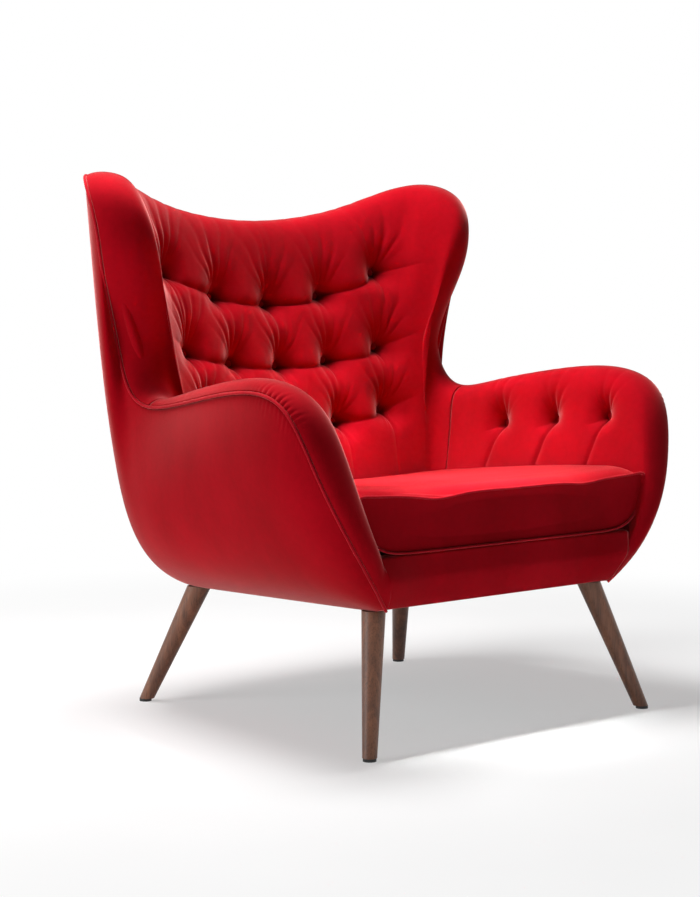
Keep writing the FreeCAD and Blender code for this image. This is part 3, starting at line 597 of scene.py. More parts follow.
def crease(across, height, path, depth, width):
    """A sharp fold along a path of points, shallower towards its ends where depth says so."""
    points = curve(np.array(path, float), np.linspace(0, 1, 40))
    depths = np.interp(np.linspace(0, 1, 40), np.linspace(0, 1, len(depth)), depth)
    reach = 4 * width
    low = points.min(0) - reach
    high = points.max(0) + reach
    near = (across > low[0]) & (across < high[0]) & (height > low[1]) & (height < high[1])
    pull = np.zeros_like(across)
    a = across[near]
    h = height[near]
    best = np.full(a.shape, 1e9)
    value = np.zeros(a.shape)
    for start, end, first, last in zip(points, points[1:], depths, depths[1:]):
        step = end - start
        t = np.clip(((a - start[0]) * step[0] + (h - start[1]) * step[1]) / (step @ step), 0, 1)
        distance = np.hypot(a - start[0] - t * step[0], h - start[1] - t * step[1])
        closer = distance < best
        best = np.where(closer, distance, best)
        value = np.where(closer, first + (last - first) * t, value)
    pull[near] = value * (0.6 * np.exp(-best / (0.45 * width)) + 0.4 * np.exp(-(best / (1.6 * width)) ** 2))
    return pull


def back_rows():
    return [[(c * pitch, height + rise * (c * pitch) ** 2) for c in range(-2, 3)]
            for height, pitch, rise in BACK_TUFT_ROWS]


def back_tufts():
    return [centre for row in back_rows() for centre in row]


def back_creases(across, height):
    """Folds along the rows of buttons, up and down from them, and out into the wings."""
    rows = back_rows()
    pull = np.zeros_like(across)
    for row, sag in zip(rows, (9, 8, 8)):
        for (x0, z0), (x1, z1) in zip(row, row[1:]):
            low = (z0 + z1) / 2 - sag
            path = [(x0, z0), (x0 * 0.7 + x1 * 0.3, low), (x0 * 0.3 + x1 * 0.7, low), (x1, z1)]
            pull += crease(across, height, path, (13, 8, 6.5, 8, 13), 7.0)
    for x, z in rows[0]:
        lean = 0.06 * x
        path = [(x, z), (x + lean, z + 70), (x + 2.0 * lean, z + 150)]
        pull += crease(across, height, path, (5, 3, 2.2, 0), 4.0)
    for upper, lower in ((rows[0], rows[1]), (rows[1], rows[2])):
        for (x0, z0), (x1, z1) in zip(upper, lower):
            bend = 5 if x0 <= 0 else -5
            path = [(x0, z0), (x0 + bend, (z0 + z1) / 2), (x1, z1)]
            pull += crease(across, height, path, (4, 2.2, 1.6, 3), 3.6)
    for x, z in rows[2]:
        path = [(x, z), (x * 0.99 + 3, z - 60), (x * 0.95, z - 150)]
        pull += crease(across, height, path, (6, 3.0, 2.2, 1.5), 4.0)
    for row, drop in zip(rows, (6, 16, 14)):
        for side in (0, -1):
            x, z = row[side]
            out = math.copysign(1, x)
            path = [(x, z), (x + 30 * out, z + drop), (x + 75 * out, z + drop + 18)]
            pull += crease(across, height, path, (7, 3, 0), 6.0)
    return pull


def arm_tufts():
    return [(y, 519 - 0.096 * y) for y in ARM_TUFT_Y]


def arm_creases(along, height):
    """A pleat from each button down to the cushion, and two short folds beside it."""
    pull = np.zeros_like(along)
    for y, z in arm_tufts():
        pull += crease(along, height, [(y, z), (y + 4, z - 40), (y + 22, z - 90), (y + 26, z - 150)],
                       (7, 5, 4, 3), 5.0)
        pull += crease(along, height, [(y, z), (y + 16, z - 12), (y + 34, z - 16)], (4, 2.5, 0), 4.0)
        pull += crease(along, height, [(y, z), (y - 3, z + 30), (y + 2, z + 62)], (5, 2.5, 0), 4.0)
    return pull


def dense_steps(spans):
    """Values over several spans, each with a count of its own."""
    parts = [np.linspace(first, last, count, endpoint=False) for first, last, count in spans]
    return np.append(np.concatenate(parts), spans[-1][1])


CREASE_GAP = 0.0005
BACK_TUFT_DEPTH = 40.0
BACK_TUFT_SPREAD = 33.0
ARM_TUFT_DEPTH = 26.0
ARM_TUFT_SPREAD = 26.0


def back_pad():
    """The inside back with its wings: one padded piece, drawn in at fifteen buttons."""
    stations = dense_steps([(-WAIST, -5.2, 90), (-5.2, 5.2, 330), (5.2, WAIST, 90)])
    u = station_u(stations)
    u = np.clip(u, station_u(-WAIST) + CREASE_GAP, station_u(WAIST) - CREASE_GAP)
    v = dense_steps([(0, 0.22, 32), (0.22, 1, 230)])
    front = surface(PAD, u, v)
    inward = facing(normals(front), (0, 1, 0))
    x = front[..., 0]
    z = front[..., 2]
    flat = smooth(front[..., 1], 170, 235)
    pit = tuft_pull(x, z, back_tufts(), BACK_TUFT_DEPTH, BACK_TUFT_SPREAD)
    folds = back_creases(x, z) + tuft_fans(x, z, back_tufts(), 2.3, 36.0, 0.27)
    front = front + inward * (folds * flat)[..., None]
    front[..., 1] += pit * flat
    back = surface(BACKING, u, v)
    back[..., 1] = np.maximum(back[..., 1], front[..., 1] + 2.0 * smooth(v, 0.0, 0.1))
    piece = closed_pad("back_pad", front, back)
    # Painted shade: the velvet is drawn darker in the tuft pits and folds of the back.
    shade = np.clip(0.55 * pit / BACK_TUFT_DEPTH + folds / 14.0, 0, 1) ** 1.6 * flat
    paint_crease_shade(piece, shade)
    finish_piece(piece, "velvet", "inside_back_cover", "inside_back_foam", fill=0.9)
    return front, inward


ARM_STEPS = dense_steps([(0, 0.22, 26), (0.22, 1, 150)])


def arm_pad(side, name):
    """The inside of one arm: a padded piece with three buttons."""
    stations = side * dense_steps([(WAIST, 12, 14), (12, 15.5, 170), (15.5, LAST, 90)])
    u = np.clip(station_u(stations), 0, 1)
    u = np.where(np.abs(stations) < WAIST + 0.01, u + side * CREASE_GAP, u)
    v = ARM_STEPS
    front = surface(PAD, u, v)
    inward = facing(normals(front), (side, 0, 0))
    y = front[..., 1]
    z = front[..., 2]
    pit = tuft_pull(y, z, arm_tufts(), ARM_TUFT_DEPTH, ARM_TUFT_SPREAD)
    folds = arm_creases(y, z) + tuft_fans(y, z, arm_tufts(), 1.6, 24.0, 0.33)
    inside = smooth(-np.abs(front[..., 0]), -430, -395)
    gather = arm_gathers(np.abs(stations), v, front)
    front = front + inward * (folds * inside + gather)[..., None]
    front[..., 0] += side * pit * inside
    front[..., 1] -= np.outer(smooth(np.abs(stations), LAST - 1.15, LAST), foot_sweep(v))
    back = surface(BACKING, u, v)
    piece = closed_pad("arm_pad_" + name, front, back)
    # Painted shade: the velvet is drawn darker in the tuft pits and folds of the arm.
    shade = np.clip(0.55 * pit / ARM_TUFT_DEPTH + folds / 10.0, 0, 1) ** 1.6 * inside
    paint_crease_shade(piece, shade)
    finish_piece(piece, "velvet", "inside_arm_cover_" + name, "inside_arm_foam_" + name, fill=0.9)
    return front, inward


def arm_gathers(stations, v, front):
    """Small folds where the cover is eased round the top front bend of the arm."""
    run = run_along(front[:, 0])
    bend = np.exp(-((stations - 14.62) / 0.62) ** 4)
    wave = sharp_wave(2 * math.pi * run / 11.5 + 1.6 * np.sin(run / 19.0))
    length = 0.062 * (1 + 0.35 * np.sin(run / 7.0))
    fade = np.exp(-(v[None, :] / length[:, None]) ** 2) * smooth(v, 0.0, 0.010)
    return 1.7 * (bend * wave)[:, None] * fade


SWEEP = 14.0
SWEEP_REACH = 105.0


def foot_sweep(v):
    """How far the padding comes forward along the seam of arm and apron."""
    return SWEEP * np.sin(math.pi * np.clip(v / 1.12, 0, 1)) ** 0.7


back_front, back_inward = back_pad()
arm_fronts = {name: arm_pad(side, name) for name, side in (("left", -1), ("right", 1))}


# Covered buttons

BUTTON_RADIUS = 9.0
BUTTON_DOME = 3.6
BUTTON_OUT = 4.6


def button_mesh(radius, dome, rings=9, sides=28):
    """A lens with a soft edge, and fine gathers towards its rim."""
    levels = np.linspace(-math.pi / 2, math.pi / 2, rings)
    angle = np.linspace(0, 2 * math.pi, sides, endpoint=False)
    gather = 1 + 0.02 * np.cos(14 * angle)[None, :] * np.cos(levels)[:, None] ** 4
    across = radius * np.cos(levels)[:, None] ** 0.75 * gather
    return np.stack([across * np.cos(angle), across * np.sin(angle),
                     np.broadcast_to((dome * np.sin(levels))[:, None], across.shape)], -1)


def buttons(name, front, inward, centres, axes, node):
    """One button in the bottom of every tuft, as one piece of separate domes."""
    dome = button_mesh(BUTTON_RADIUS, BUTTON_DOME)
    rings, sides = dome.shape[:2]
    points = []
    quads = []
    a, b = axes
    deep = inward[..., 3 - a - b]
    turned_away = deep * deep[deep.shape[0] // 2, deep.shape[1] // 2] < 0
    for first, second in centres:
        far = np.hypot(front[..., a] - first, front[..., b] - second) + 1e3 * turned_away
        spot = np.unravel_index(np.argmin(far), far.shape)
        out = np.array([0, -0.96, 0.28]) if a == 0 else -np.sign(front[spot][0]) * np.array([1.0, 0, 0])
        side = unit(np.cross((0, 0, 1.0), out))
        up = np.cross(out, side)
        place = front[spot] + out * BUTTON_OUT
        moved = place + dome[..., :1] * side + dome[..., 1:2] * up + dome[..., 2:] * out
        index = len(points) * rings * sides + np.arange(rings * sides).reshape(rings, sides)
        quads.append(cells(closed_round(index), turned=True))
        points.append(moved.reshape(-1, 3))
    piece = quad_mesh(name, to_part(np.concatenate(points)), np.concatenate(quads))
    finish_piece(piece, "button_velvet", node)


buttons("back_button_caps", back_front, back_inward, back_tufts(), (0, 2), "back_buttons")
for arm_name, (arm_front, arm_inward) in arm_fronts.items():
    buttons("arm_button_caps_" + arm_name, arm_front, arm_inward, arm_tufts(), (1, 2),
            "arm_buttons_" + arm_name)


# Outside covers, apron, welt

BACK_SEAM = 3.6
SEAM_GAP = 0.0004
FOOT_END = 18.97
TURN_UNDER = 20.0


def outside_cover(name, first, last, columns, node):
    """One panel of the outside, puckered along the welt and turned in below the frame."""
    u = np.linspace(first, last, columns)
    v = dense_steps([(0, 0.8, 60), (0.8, 1, 36)])
    outer = surface(OUTER, u, v)
    outward = facing(normals(outer), outer[columns // 2, len(v) // 2] - (0, 60, 450))
    run = run_along(outer[:, -1])
    bend = np.exp(-((np.abs(u - 0.5) - (station_u(14.8) - 0.5)) / 0.022) ** 2) + 0.18
    wave = np.sin(2 * math.pi * run / 11.0 + 1.5 * np.sin(run / 27.0))
    length = 0.034 * (1 + 0.4 * np.sin(run / 9.0))
    fade = np.exp(-((1 - v)[None, :] / length[:, None]) ** 2) * smooth(1 - v, 0.0, 0.008)
    puckers = 0.55 * (bend * wave)[:, None] * fade
    tuck = -0.8 * np.exp(-((1 - v) / 0.010) ** 2)[None, :]
    inner = outer - outward * PANEL_THICK
    inner[..., 2] = np.maximum(inner[..., 2], underside(inner[..., 1]) + 2.5)
    outer = turned_under(outer + outward * (puckers + tuck)[..., None], 0.0)
    inner = turned_under(inner, 2.0)
    piece = closed_pad(name, outer, inner)
    # Painted shade: a dark line on the velvet along the welt, where the cover tucks in.
    shade = np.broadcast_to(0.5 * np.exp(-((1 - v) / 0.008) ** 2), puckers.shape)
    shade = np.pad(shade, ((0, 0), (outer.shape[1] - len(v), 0)))
    paint_crease_shade(piece, shade)
    finish_piece(piece, "velvet", node)


def turned_under(sheet, lift):
    """Adds rows along the underside, where the cover is turned in and fixed below the frame."""
    edge = sheet[:, 0]
    middle = np.stack([0 * edge[:, 0], np.clip(edge[:, 1], -200, 230), edge[:, 2]], -1)
    inwards = unit((middle - edge) * (1, 1, 0))
    rows = [edge + inwards * step for step in np.linspace(TURN_UNDER, 2.5, 6)]
    for row in rows:
        row[:, 2] = underside(row[:, 1]) + lift
    return np.concatenate([np.stack(rows, 1), sheet], 1)


outside_cover("outside_back", station_u(-BACK_SEAM) + SEAM_GAP, station_u(BACK_SEAM) - SEAM_GAP, 190,
              "outside_back_cover")
outside_cover("outside_arm_right", station_u(BACK_SEAM) + SEAM_GAP, station_u(FOOT_END), 520,
              "outside_arm_cover_right")
outside_cover("outside_arm_left", station_u(-FOOT_END), station_u(-BACK_SEAM) - SEAM_GAP, 520,
              "outside_arm_cover_left")


def apron():
    """The padded border under the cushion, which runs on into the arms at both ends."""
    across = np.linspace(-1, 1, 240)
    v = ARM_STEPS
    edge = curve(pad_rows(LAST), v)
    hidden = curve(backing_rows(LAST), v)
    shape = (len(across), len(v))
    front = np.stack([np.outer(across, edge[:, 0]), np.broadcast_to(edge[:, 1], shape),
                      np.broadcast_to(edge[:, 2], shape)], -1)
    back = np.stack([np.outer(across, hidden[:, 0]), np.broadcast_to(hidden[:, 1], shape),
                     np.broadcast_to(hidden[:, 2], shape)], -1)
    ends = smooth(1 - np.abs(across), 0.0, 0.35)[:, None]
    slack = 0.7 * np.sin(9 * across + 0.6)[:, None] + 2.0
    front[..., 1] -= slack * ends * np.sin(math.pi * v)[None, :]
    distance = np.outer(1 - np.abs(across), edge[:, 0])
    front[..., 1] -= (1 - smooth(distance, 0, SWEEP_REACH)) * foot_sweep(v)[None, :]
    lips = [front[:, -1:] + (0, depth, rise) for depth, rise in ((2.0, 2.4), (6.0, 3.8), (14.0, 4.6))]
    front = np.concatenate([front] + lips, 1)
    back = np.concatenate([back] + [back[:, -1:] + (0, 0, rise) for rise in (1.2, 2.4, 3.6)], 1)
    piece = closed_pad("apron", front, back)
    paint_crease_shade(piece, np.zeros(front.shape[:2]))
    finish_piece(piece, "velvet", "apron_cover", "apron_foam", fill=0.9)


def edge_welt():
    """The covered cord along the whole outer edge, from foot to foot."""
    path = np.concatenate([WELT_LINE[:0:-1] * (-1, 1, 1), WELT_LINE])
    number = np.arange(1400)
    middle = curve(path, np.linspace(0, 1, len(number)))
    ripple = 1 + 0.035 * np.sin(number * 1.9) + 0.03 * np.sin(number * 0.41)
    piece = tube("welt_cord", middle, 1.12 * WELT_RADIUS * ripple, 12)
    finish_piece(piece, "welt_velvet", "edge_welt")


apron()
edge_welt()


# Loose seat cushion

CUSHION_FRONT = -318.0
CUSHION_BACK = 185.6
CUSHION_CLEAR = 7.0
DECK_TOP = 99.5
PANEL_LOW = 340.0
PANEL_HIGH = 453.0
ZIP_LEVEL = 374.6
PIPING_RADIUS = 2.2
CORD_OUT = 1.2
CORD_FORWARD = 2.2

# Right half of the piped edge round the front panel, from the middle below to the middle above
PANEL_EDGE = [(0, 340), (110, 340), (215, 340), (275, 341), (310, 351), (336, 375), (348, 403), (352, 424),
              (350, 439), (335, 437), (240, 432), (115, 432), (0, 431)]
# The fuller section behind it, with its width as a share of the room between the arms
SECTION = [(0, 340), (0.33, 340), (0.66, 340), (0.86, 341), (0.965, 350), (1.01, 372), (1.02, 398),
           (1.025, 430), (1.015, 456), (0.95, 461), (0.66, 454), (0.33, 453), (0, 453)]
# Height of the top along the middle of the cushion, from front to back
TOP_DEPTHS = [-318, -290, -250, -150, -60, 55, 150, 186]
TOP_LEVELS = [446, 451, 452, 447, 440, 430, 421, 410]
HALF_BOTTOM = 48
SIDE_STEPS = 32
FILL_PRESSURE = 4.0
FILL_FRAMES = 20
MOST_SWELLING = 0.007


def even_steps(line, count):
    """Points at even distances along a line."""
    run = run_along(line)
    stops = np.linspace(0, run[-1], count + 1)
    return np.stack([np.interp(stops, run, column) for column in line.T], -1)


def half_outline(control):
    """One half of an outline in three runs of even steps: bottom, side and top."""
    control = np.array(control, float)
    runs = []
    for first, last, count in ((0, 0.3, HALF_BOTTOM), (0.3, 0.7, SIDE_STEPS), (0.7, 1, HALF_BOTTOM)):
        runs.append(even_steps(curve(control, np.linspace(first, last, 400)), count)[:-1])
    return np.concatenate(runs + [control[-1:]])


def room_between_arms(y, z):
    return arm_x(y, z) - CUSHION_CLEAR


def cushion_ring(y):
    """Right half of the cushion's outline at a depth."""
    low = underside(y) + DECK_TOP
    high = np.interp(y, TOP_DEPTHS, TOP_LEVELS)
    section = half_outline(SECTION)
    z = low + (section[:, 1] - PANEL_LOW) * (high - low) / (PANEL_HIGH - PANEL_LOW)
    full = np.stack([section[:, 0] * room_between_arms(y, z), z], -1)
    share = 1 - math.exp(-(y - CUSHION_FRONT) / 11.0)
    return half_outline(PANEL_EDGE) * (1 - share) + full * share


def cushion_loop(y):
    """The whole outline at a depth, once round from its lower left corner."""
    right = cushion_ring(y)
    left = right[-2:0:-1] * (-1, 1)
    loop = np.concatenate([right, left])
    near = math.exp(-(y - CUSHION_FRONT) / 30.0)
    upper = smooth(loop[:, 1], 395, 430)
    left_dip = -8.0 * np.exp(-((loop[:, 0] + 172) / 55) ** 2)
    right_dip = -5.0 * np.exp(-((loop[:, 0] - 188) / 42) ** 2)
    loop[:, 1] += near * upper * (left_dip + right_dip + 2.0)
    points = np.stack([loop[:, 0], np.full(len(loop), float(y)), loop[:, 1]], -1)
    return np.roll(points, HALF_BOTTOM, axis=0)


def panel_grid(loop, bulge):
    """A sheet of quads inside a loop of four sides, swelling towards its middle."""
    bottom = 2 * HALF_BOTTOM
    low = loop[:bottom + 1]
    right = loop[bottom:bottom + SIDE_STEPS + 1]
    high = loop[bottom + SIDE_STEPS:2 * bottom + SIDE_STEPS + 1][::-1]
    left = np.concatenate([loop[2 * bottom + SIDE_STEPS:], loop[:1]])[::-1]
    s = np.linspace(0, 1, bottom + 1)[:, None, None]
    t = np.linspace(0, 1, SIDE_STEPS + 1)[None, :, None]
    grid = (1 - t) * low[:, None] + t * high[:, None] + (1 - s) * left[None] + s * right[None]
    grid -= (1 - s) * ((1 - t) * low[0] + t * high[0]) + s * ((1 - t) * low[-1] + t * high[-1])
    grid[..., 1:2] += bulge * np.sqrt(16 * s * (1 - s) * t * (1 - t))
    return grid


def panel_faces(loop_index, first):
    """Quads of a panel whose rim is the given loop and whose inner points start at an index."""
    bottom = 2 * HALF_BOTTOM
    index = np.zeros((bottom + 1, SIDE_STEPS + 1), int)
    inner = np.arange((bottom - 1) * (SIDE_STEPS - 1))
    index[1:-1, 1:-1] = first + inner.reshape(bottom - 1, SIDE_STEPS - 1)
    index[:, 0] = loop_index[:bottom + 1]
    index[-1, :] = loop_index[bottom:bottom + SIDE_STEPS + 1]
    index[:, -1] = loop_index[bottom + SIDE_STEPS:2 * bottom + SIDE_STEPS + 1][::-1]
    index[0, :] = np.concatenate([loop_index[2 * bottom + SIDE_STEPS:], loop_index[:1]])[::-1]
    return cells(index)


def cushion_cover():
    """The sewn cover before it is filled: front panel, one band round it and back panel."""
    front_part = CUSHION_FRONT + np.array([0, 2.5, 5.5, 9, 13, 17.5, 22.5])
    depths = np.concatenate([front_part, np.linspace(CUSHION_FRONT + 28, CUSHION_BACK, 78)])
    band = np.array([cushion_loop(y) for y in depths])
    front = panel_grid(band[0], -4.0)[1:-1, 1:-1]
    back = panel_grid(band[-1], 0.0)[1:-1, 1:-1]
    count, sides = band.shape[:2]
    index = np.arange(count * sides).reshape(count, sides)
    quads = cells(closed_round(index), turned=True)
    inner = front.shape[0] * front.shape[1]
    quads = np.concatenate([quads[:, ::-1], panel_faces(index[0], count * sides),
                            panel_faces(index[-1], count * sides + inner)[:, ::-1]])
    points = np.concatenate([band.reshape(-1, 3), front.reshape(-1, 3), back.reshape(-1, 3)])
    sewn = np.zeros(len(points))
    sewn[index[0]] = 1
    sewn[index[-1]] = 1
    on_back = points[:, 1] > CUSHION_BACK - 0.1
    sewn[on_back & (np.abs(points[:, 0]) < 222) & (np.abs(points[:, 2] - ZIP_LEVEL) < 16)] = 1
    return points, quads[:, ::-1], sewn


def seat_cushion():
    """The cover, filled by cloth simulation under pressure, its seams held and its swelling limited."""
    points, quads, sewn = cushion_cover()
    piece = quad_mesh("seat_cushion", to_part(points), quads)
    start = vertex_places(piece)
    group = piece.vertex_groups.new(name="sewn")
    group.add([int(i) for i in np.flatnonzero(sewn)], 1.0, "REPLACE")
    cloth_part = piece.modifiers.new("cloth", "CLOTH")
    cloth_part.settings.use_pressure = True
    cloth_part.settings.uniform_pressure_force = FILL_PRESSURE
    cloth_part.settings.effector_weights.gravity = 0
    cloth_part.settings.vertex_group_mass = "sewn"
    for number in range(1, FILL_FRAMES + 1):
        bpy.context.scene.frame_set(number)
    apply_modifiers(piece)
    bpy.context.scene.frame_set(1)
    moved = vertex_places(piece) - start
    length = np.linalg.norm(moved, axis=1, keepdims=True)
    moved = moved * np.minimum(1, MOST_SWELLING / np.maximum(length, 1e-9))
    piece.data.vertices.foreach_set("co", kept_in_place(start + moved).astype(np.float32).ravel())
    piece.data.update()
    fine = piece.modifiers.new("fine", "SUBSURF")
    fine.levels = 1
    fine.render_levels = 1
    apply_modifiers(piece)
    set_attribute(piece, "crease", np.zeros(len(piece.data.vertices)))
    piece.data.polygons.foreach_set("use_smooth", np.ones(len(piece.data.polygons), bool))
    finish_piece(piece, "velvet", "cushion_cover", "cushion_core", body="cushion", fill=0.85)


def kept_in_place(places):
    """Flat where it lies on the deck, and not wider than the room between the arms."""
    y = places[:, 1] / MM + DEPTH_OFFSET
    z = places[:, 2] / MM
    low = (underside(y) + DECK_TOP) * MM
    places[:, 2] = np.maximum(places[:, 2], low)
    room = (arm_x(y, z) - 2.0 + 40 * smooth(-y, 285, 318)) * MM
    places[:, 0] = np.clip(places[:, 0], -room, room)
    return places


def vertex_places(piece):
    places = np.empty(len(piece.data.vertices) * 3, np.float32)
    piece.data.vertices.foreach_get("co", places)
    return places.reshape(-1, 3).astype(float)


def apply_modifiers(piece):
    """Replaces the piece's mesh by what its modifiers give."""
    graph = bpy.context.evaluated_depsgraph_get()
    mesh = bpy.data.meshes.new_from_object(piece.evaluated_get(graph))
    piece.modifiers.clear()
    piece.data = mesh


def cushion_piping():
    """A velvet-covered cord sewn into the edge of the front panel."""
    loop = cushion_loop(CUSHION_FRONT)
    path = even_steps(np.concatenate([loop, loop[:1]]), 900)[:-1]
    along = unit(np.roll(path, -1, axis=0) - np.roll(path, 1, axis=0))
    path += np.cross((0, 1, 0), along) * CORD_OUT
    path[:, 1] -= CORD_FORWARD
    ripple = 1 + 0.04 * np.sin(np.arange(len(path)) * 2.1)
    piece = tube("cushion_cord", path, PIPING_RADIUS * ripple, 12, closed=True)
    finish_piece(piece, "welt_velvet", "cushion_piping", body="cushion")


seat_cushion()
cushion_piping()


# Zip along the back of the cushion

ZIP_HALF = 210.0
ZIP_FACE = 186.6


def block_points(low, high):
    """Corners of a small block, in the order that BLOCK_FACES uses."""
    (x0, y0, z0), (x1, y1, z1) = low, high
    return [(x0, y0, z0), (x1, y0, z0), (x1, y0, z1), (x0, y0, z1),
            (x0, y1, z0), (x1, y1, z0), (x1, y1, z1), (x0, y1, z1)]


BLOCK_FACES = np.array([(0, 1, 2, 3), (5, 4, 7, 6), (4, 0, 3, 7), (1, 5, 6, 2), (3, 2, 6, 7), (4, 5, 1, 0)])


def blocks(name, corners):
    """One mesh of separate small blocks."""
    points = np.concatenate(corners)
    quads = np.concatenate([BLOCK_FACES + 8 * i for i in range(len(corners))])
    return quad_mesh(name, to_part(points), quads, flat=len(quads))


def zip_tape():
    """Two woven tapes, each a little curled along its free edge."""
    along = np.linspace(-ZIP_HALF, ZIP_HALF, 180)
    up = np.linspace(-11, 11, 24)
    curl = 0.35 * smooth(np.abs(up), 8, 11) + 0.25 * np.exp(-(up / 1.6) ** 2)
    ripple = 0.08 * np.sin(along / 9.0)
    y = ZIP_FACE + curl[None, :] + ripple[:, None] * smooth(np.abs(up), 4, 9)[None, :]
    x, z = np.meshgrid(along, ZIP_LEVEL + up, indexing="ij")
    back = np.stack([x, y, z], -1)
    piece = closed_pad("zip_tapes", back + (0, 0.8, 0), back)
    finish_piece(piece, "zip_cloth", "zip_tape", body="cushion")


def zip_block(x, width, out, low, high):
    """A small block on the middle of the zip."""
    return block_points((x, ZIP_FACE + 0.9, ZIP_LEVEL + low), (x + width, ZIP_FACE + out, ZIP_LEVEL + high))


def zip_teeth():
    """Teeth from the upper and the lower tape in turn, along the middle."""
    corners = []
    for number, x in enumerate(np.arange(-ZIP_HALF + 4, ZIP_HALF - 4, 1.5)):
        low, high = (-2.0, 1.0) if number % 2 else (-1.0, 2.0)
        corners.append(zip_block(x, 1.1, 1.9, low, high))
    for x in (-ZIP_HALF + 1, ZIP_HALF - 3.5):
        corners.append(zip_block(x, 2.5, 2.1, -3, 3))
    piece = blocks("zip_teeth", corners)
    finish_piece(piece, "zip_metal", body="cushion")


def band_mesh(outer, inner, near, far):
    """A flat plate between an outer and an inner loop of points (x, z), from one depth to another."""
    rings = [(outer, near), (outer, far), (inner, far), (inner, near)]
    points = [np.stack([ring[:, 0], np.full(len(ring), y), ring[:, 1]], -1) for ring, y in rings]
    index = closed_round(np.arange(4 * len(outer)).reshape(4, -1))
    return np.concatenate(points), cells(np.concatenate([index, index[:1]]))


def rounded_loop(middle, half, power, sides=32):
    """A loop between an ellipse and a rectangle."""
    angle = np.linspace(0, 2 * math.pi, sides, endpoint=False)
    x = np.sign(np.cos(angle)) * np.abs(np.cos(angle)) ** power
    z = np.sign(np.sin(angle)) * np.abs(np.sin(angle)) ** power
    return np.array(middle) + np.stack([half[0] * x, half[1] * z], -1)


def zip_slider():
    """Slider body, its bridge and a pull tab with a slot."""
    face = ZIP_FACE + 2.6
    middle = (0.0, ZIP_LEVEL)
    tab = (-11.0, ZIP_LEVEL)
    slot = (-12.0, ZIP_LEVEL)
    plates = [
        band_mesh(rounded_loop(middle, (7.0, 5.0), 0.55), rounded_loop(middle, (1.0, 0.5), 1.0),
                  face, face + 1.2),
        band_mesh(rounded_loop(middle, (4.4, 1.5), 0.4), rounded_loop(middle, (2.6, 0.5), 0.6),
                  face + 1.2, face + 2.4),
        band_mesh(rounded_loop(tab, (6.0, 3.0), 0.6), rounded_loop(slot, (3.2, 1.4), 0.6),
                  face + 0.9, face + 1.9),
    ]
    points = []
    quads = []
    for plate_points, plate_quads in plates:
        quads.append(plate_quads + sum(len(p) for p in points))
        points.append(plate_points)
    quads = np.concatenate(quads)
    piece = quad_mesh("zip_pull", to_part(np.concatenate(points)), quads, flat=len(quads))
    finish_piece(piece, "zip_metal", "zip_slider", body="slider")


zip_tape()
zip_teeth()
zip_slider()


# Deck under the cushion, dust cover under the seat, webbing in the back

DECK_FRONT = -277.5
DECK_BACK = 261.5
DECK_HALF = 257.5
DECK_EDGE = 22.0
SPRING_PITCH = 85.0
SPRING_TOP = 90.4


def on_frame(points):
    """Carries points drawn on a level underside to the sloping underside plane."""
    turn = -math.atan(UNDERSIDE_FALL)
    y = points[..., 1] * math.cos(turn) - points[..., 2] * math.sin(turn)
    z = points[..., 1] * math.sin(turn) + points[..., 2] * math.cos(turn) + underside(0)
    return np.stack([points[..., 0], y, z], -1)


def seat_deck():
    """Lined wadding over the springs, slightly hollow between them and sewn down along its edges."""
    x, y = np.meshgrid(np.linspace(-DECK_HALF, DECK_HALF, 130), np.linspace(DECK_FRONT, DECK_BACK, 130),
                       indexing="ij")
    from_ends = np.minimum(y - DECK_FRONT, DECK_BACK - y)
    rim = smooth(DECK_HALF - np.abs(x), 0, DECK_EDGE) * smooth(from_ends, 0, DECK_EDGE)
    hollow = 0.5 - 0.5 * np.cos(2 * math.pi * x / SPRING_PITCH)
    top = 98.9 - 3.2 * (1 - rim) - 1.1 * rim * hollow
    bottom = SPRING_TOP + 3.0 * (1 - rim) + 0.8 * rim * hollow
    upper = on_frame(np.stack([x, y, top], -1))
    lower = on_frame(np.stack([x, y, bottom], -1))
    piece = closed_pad("deck_pad", upper, lower)
    finish_piece(piece, "lining_cloth", "seat_deck", fill=0.5)


DUST_FRONT = -272.0
DUST_BACK = 306.0
DUST_HALF = 257.0
DUST_CORNER = 68.0
LEG_TOPS = [(267.0, -260.0), (258.0, 247.0)]
LEG_ROOM = 13.0


def dust_half_width(y):
    """Half the width of the dust cover, which has round corners at the back."""
    past = np.clip(y - (DUST_BACK - DUST_CORNER), 0, DUST_CORNER)
    return DUST_HALF - DUST_CORNER + np.sqrt(DUST_CORNER ** 2 - past ** 2)


def dust_cover():
    """A thin black lining that hangs a little slack under the seat frame, cut out round the legs."""
    y = DUST_FRONT + (DUST_BACK - DUST_FRONT) * np.sin(np.linspace(0, 1, 110) * math.pi / 2) ** 0.9
    across = np.linspace(-1, 1, 110)
    x = across[:, None] * np.maximum(dust_half_width(y), 40)[None, :]
    rows = np.broadcast_to(y[None, :], x.shape)
    lengthwise = np.sin(math.pi * (rows - DUST_FRONT) / (DUST_BACK - DUST_FRONT)) ** 0.8
    slack = (1 - across[:, None] ** 4) * lengthwise
    folds = 0.35 * np.sin(x / 21.0 + 0.7 * np.sin(rows / 50.0)) * slack
    level = 0.5 - 2.6 * slack + folds
    under = on_frame(np.stack([x, rows, level], -1))
    upper = on_frame(np.stack([x, rows, level + 0.9], -1))
    piece = closed_pad("dust_lining", under, upper)
    for leg_x, leg_y in LEG_TOPS:
        for side in (-1, 1):
            cut_round_hole(piece, side * leg_x, leg_y)
    finish_piece(piece, "lining_cloth", "dust_cover")


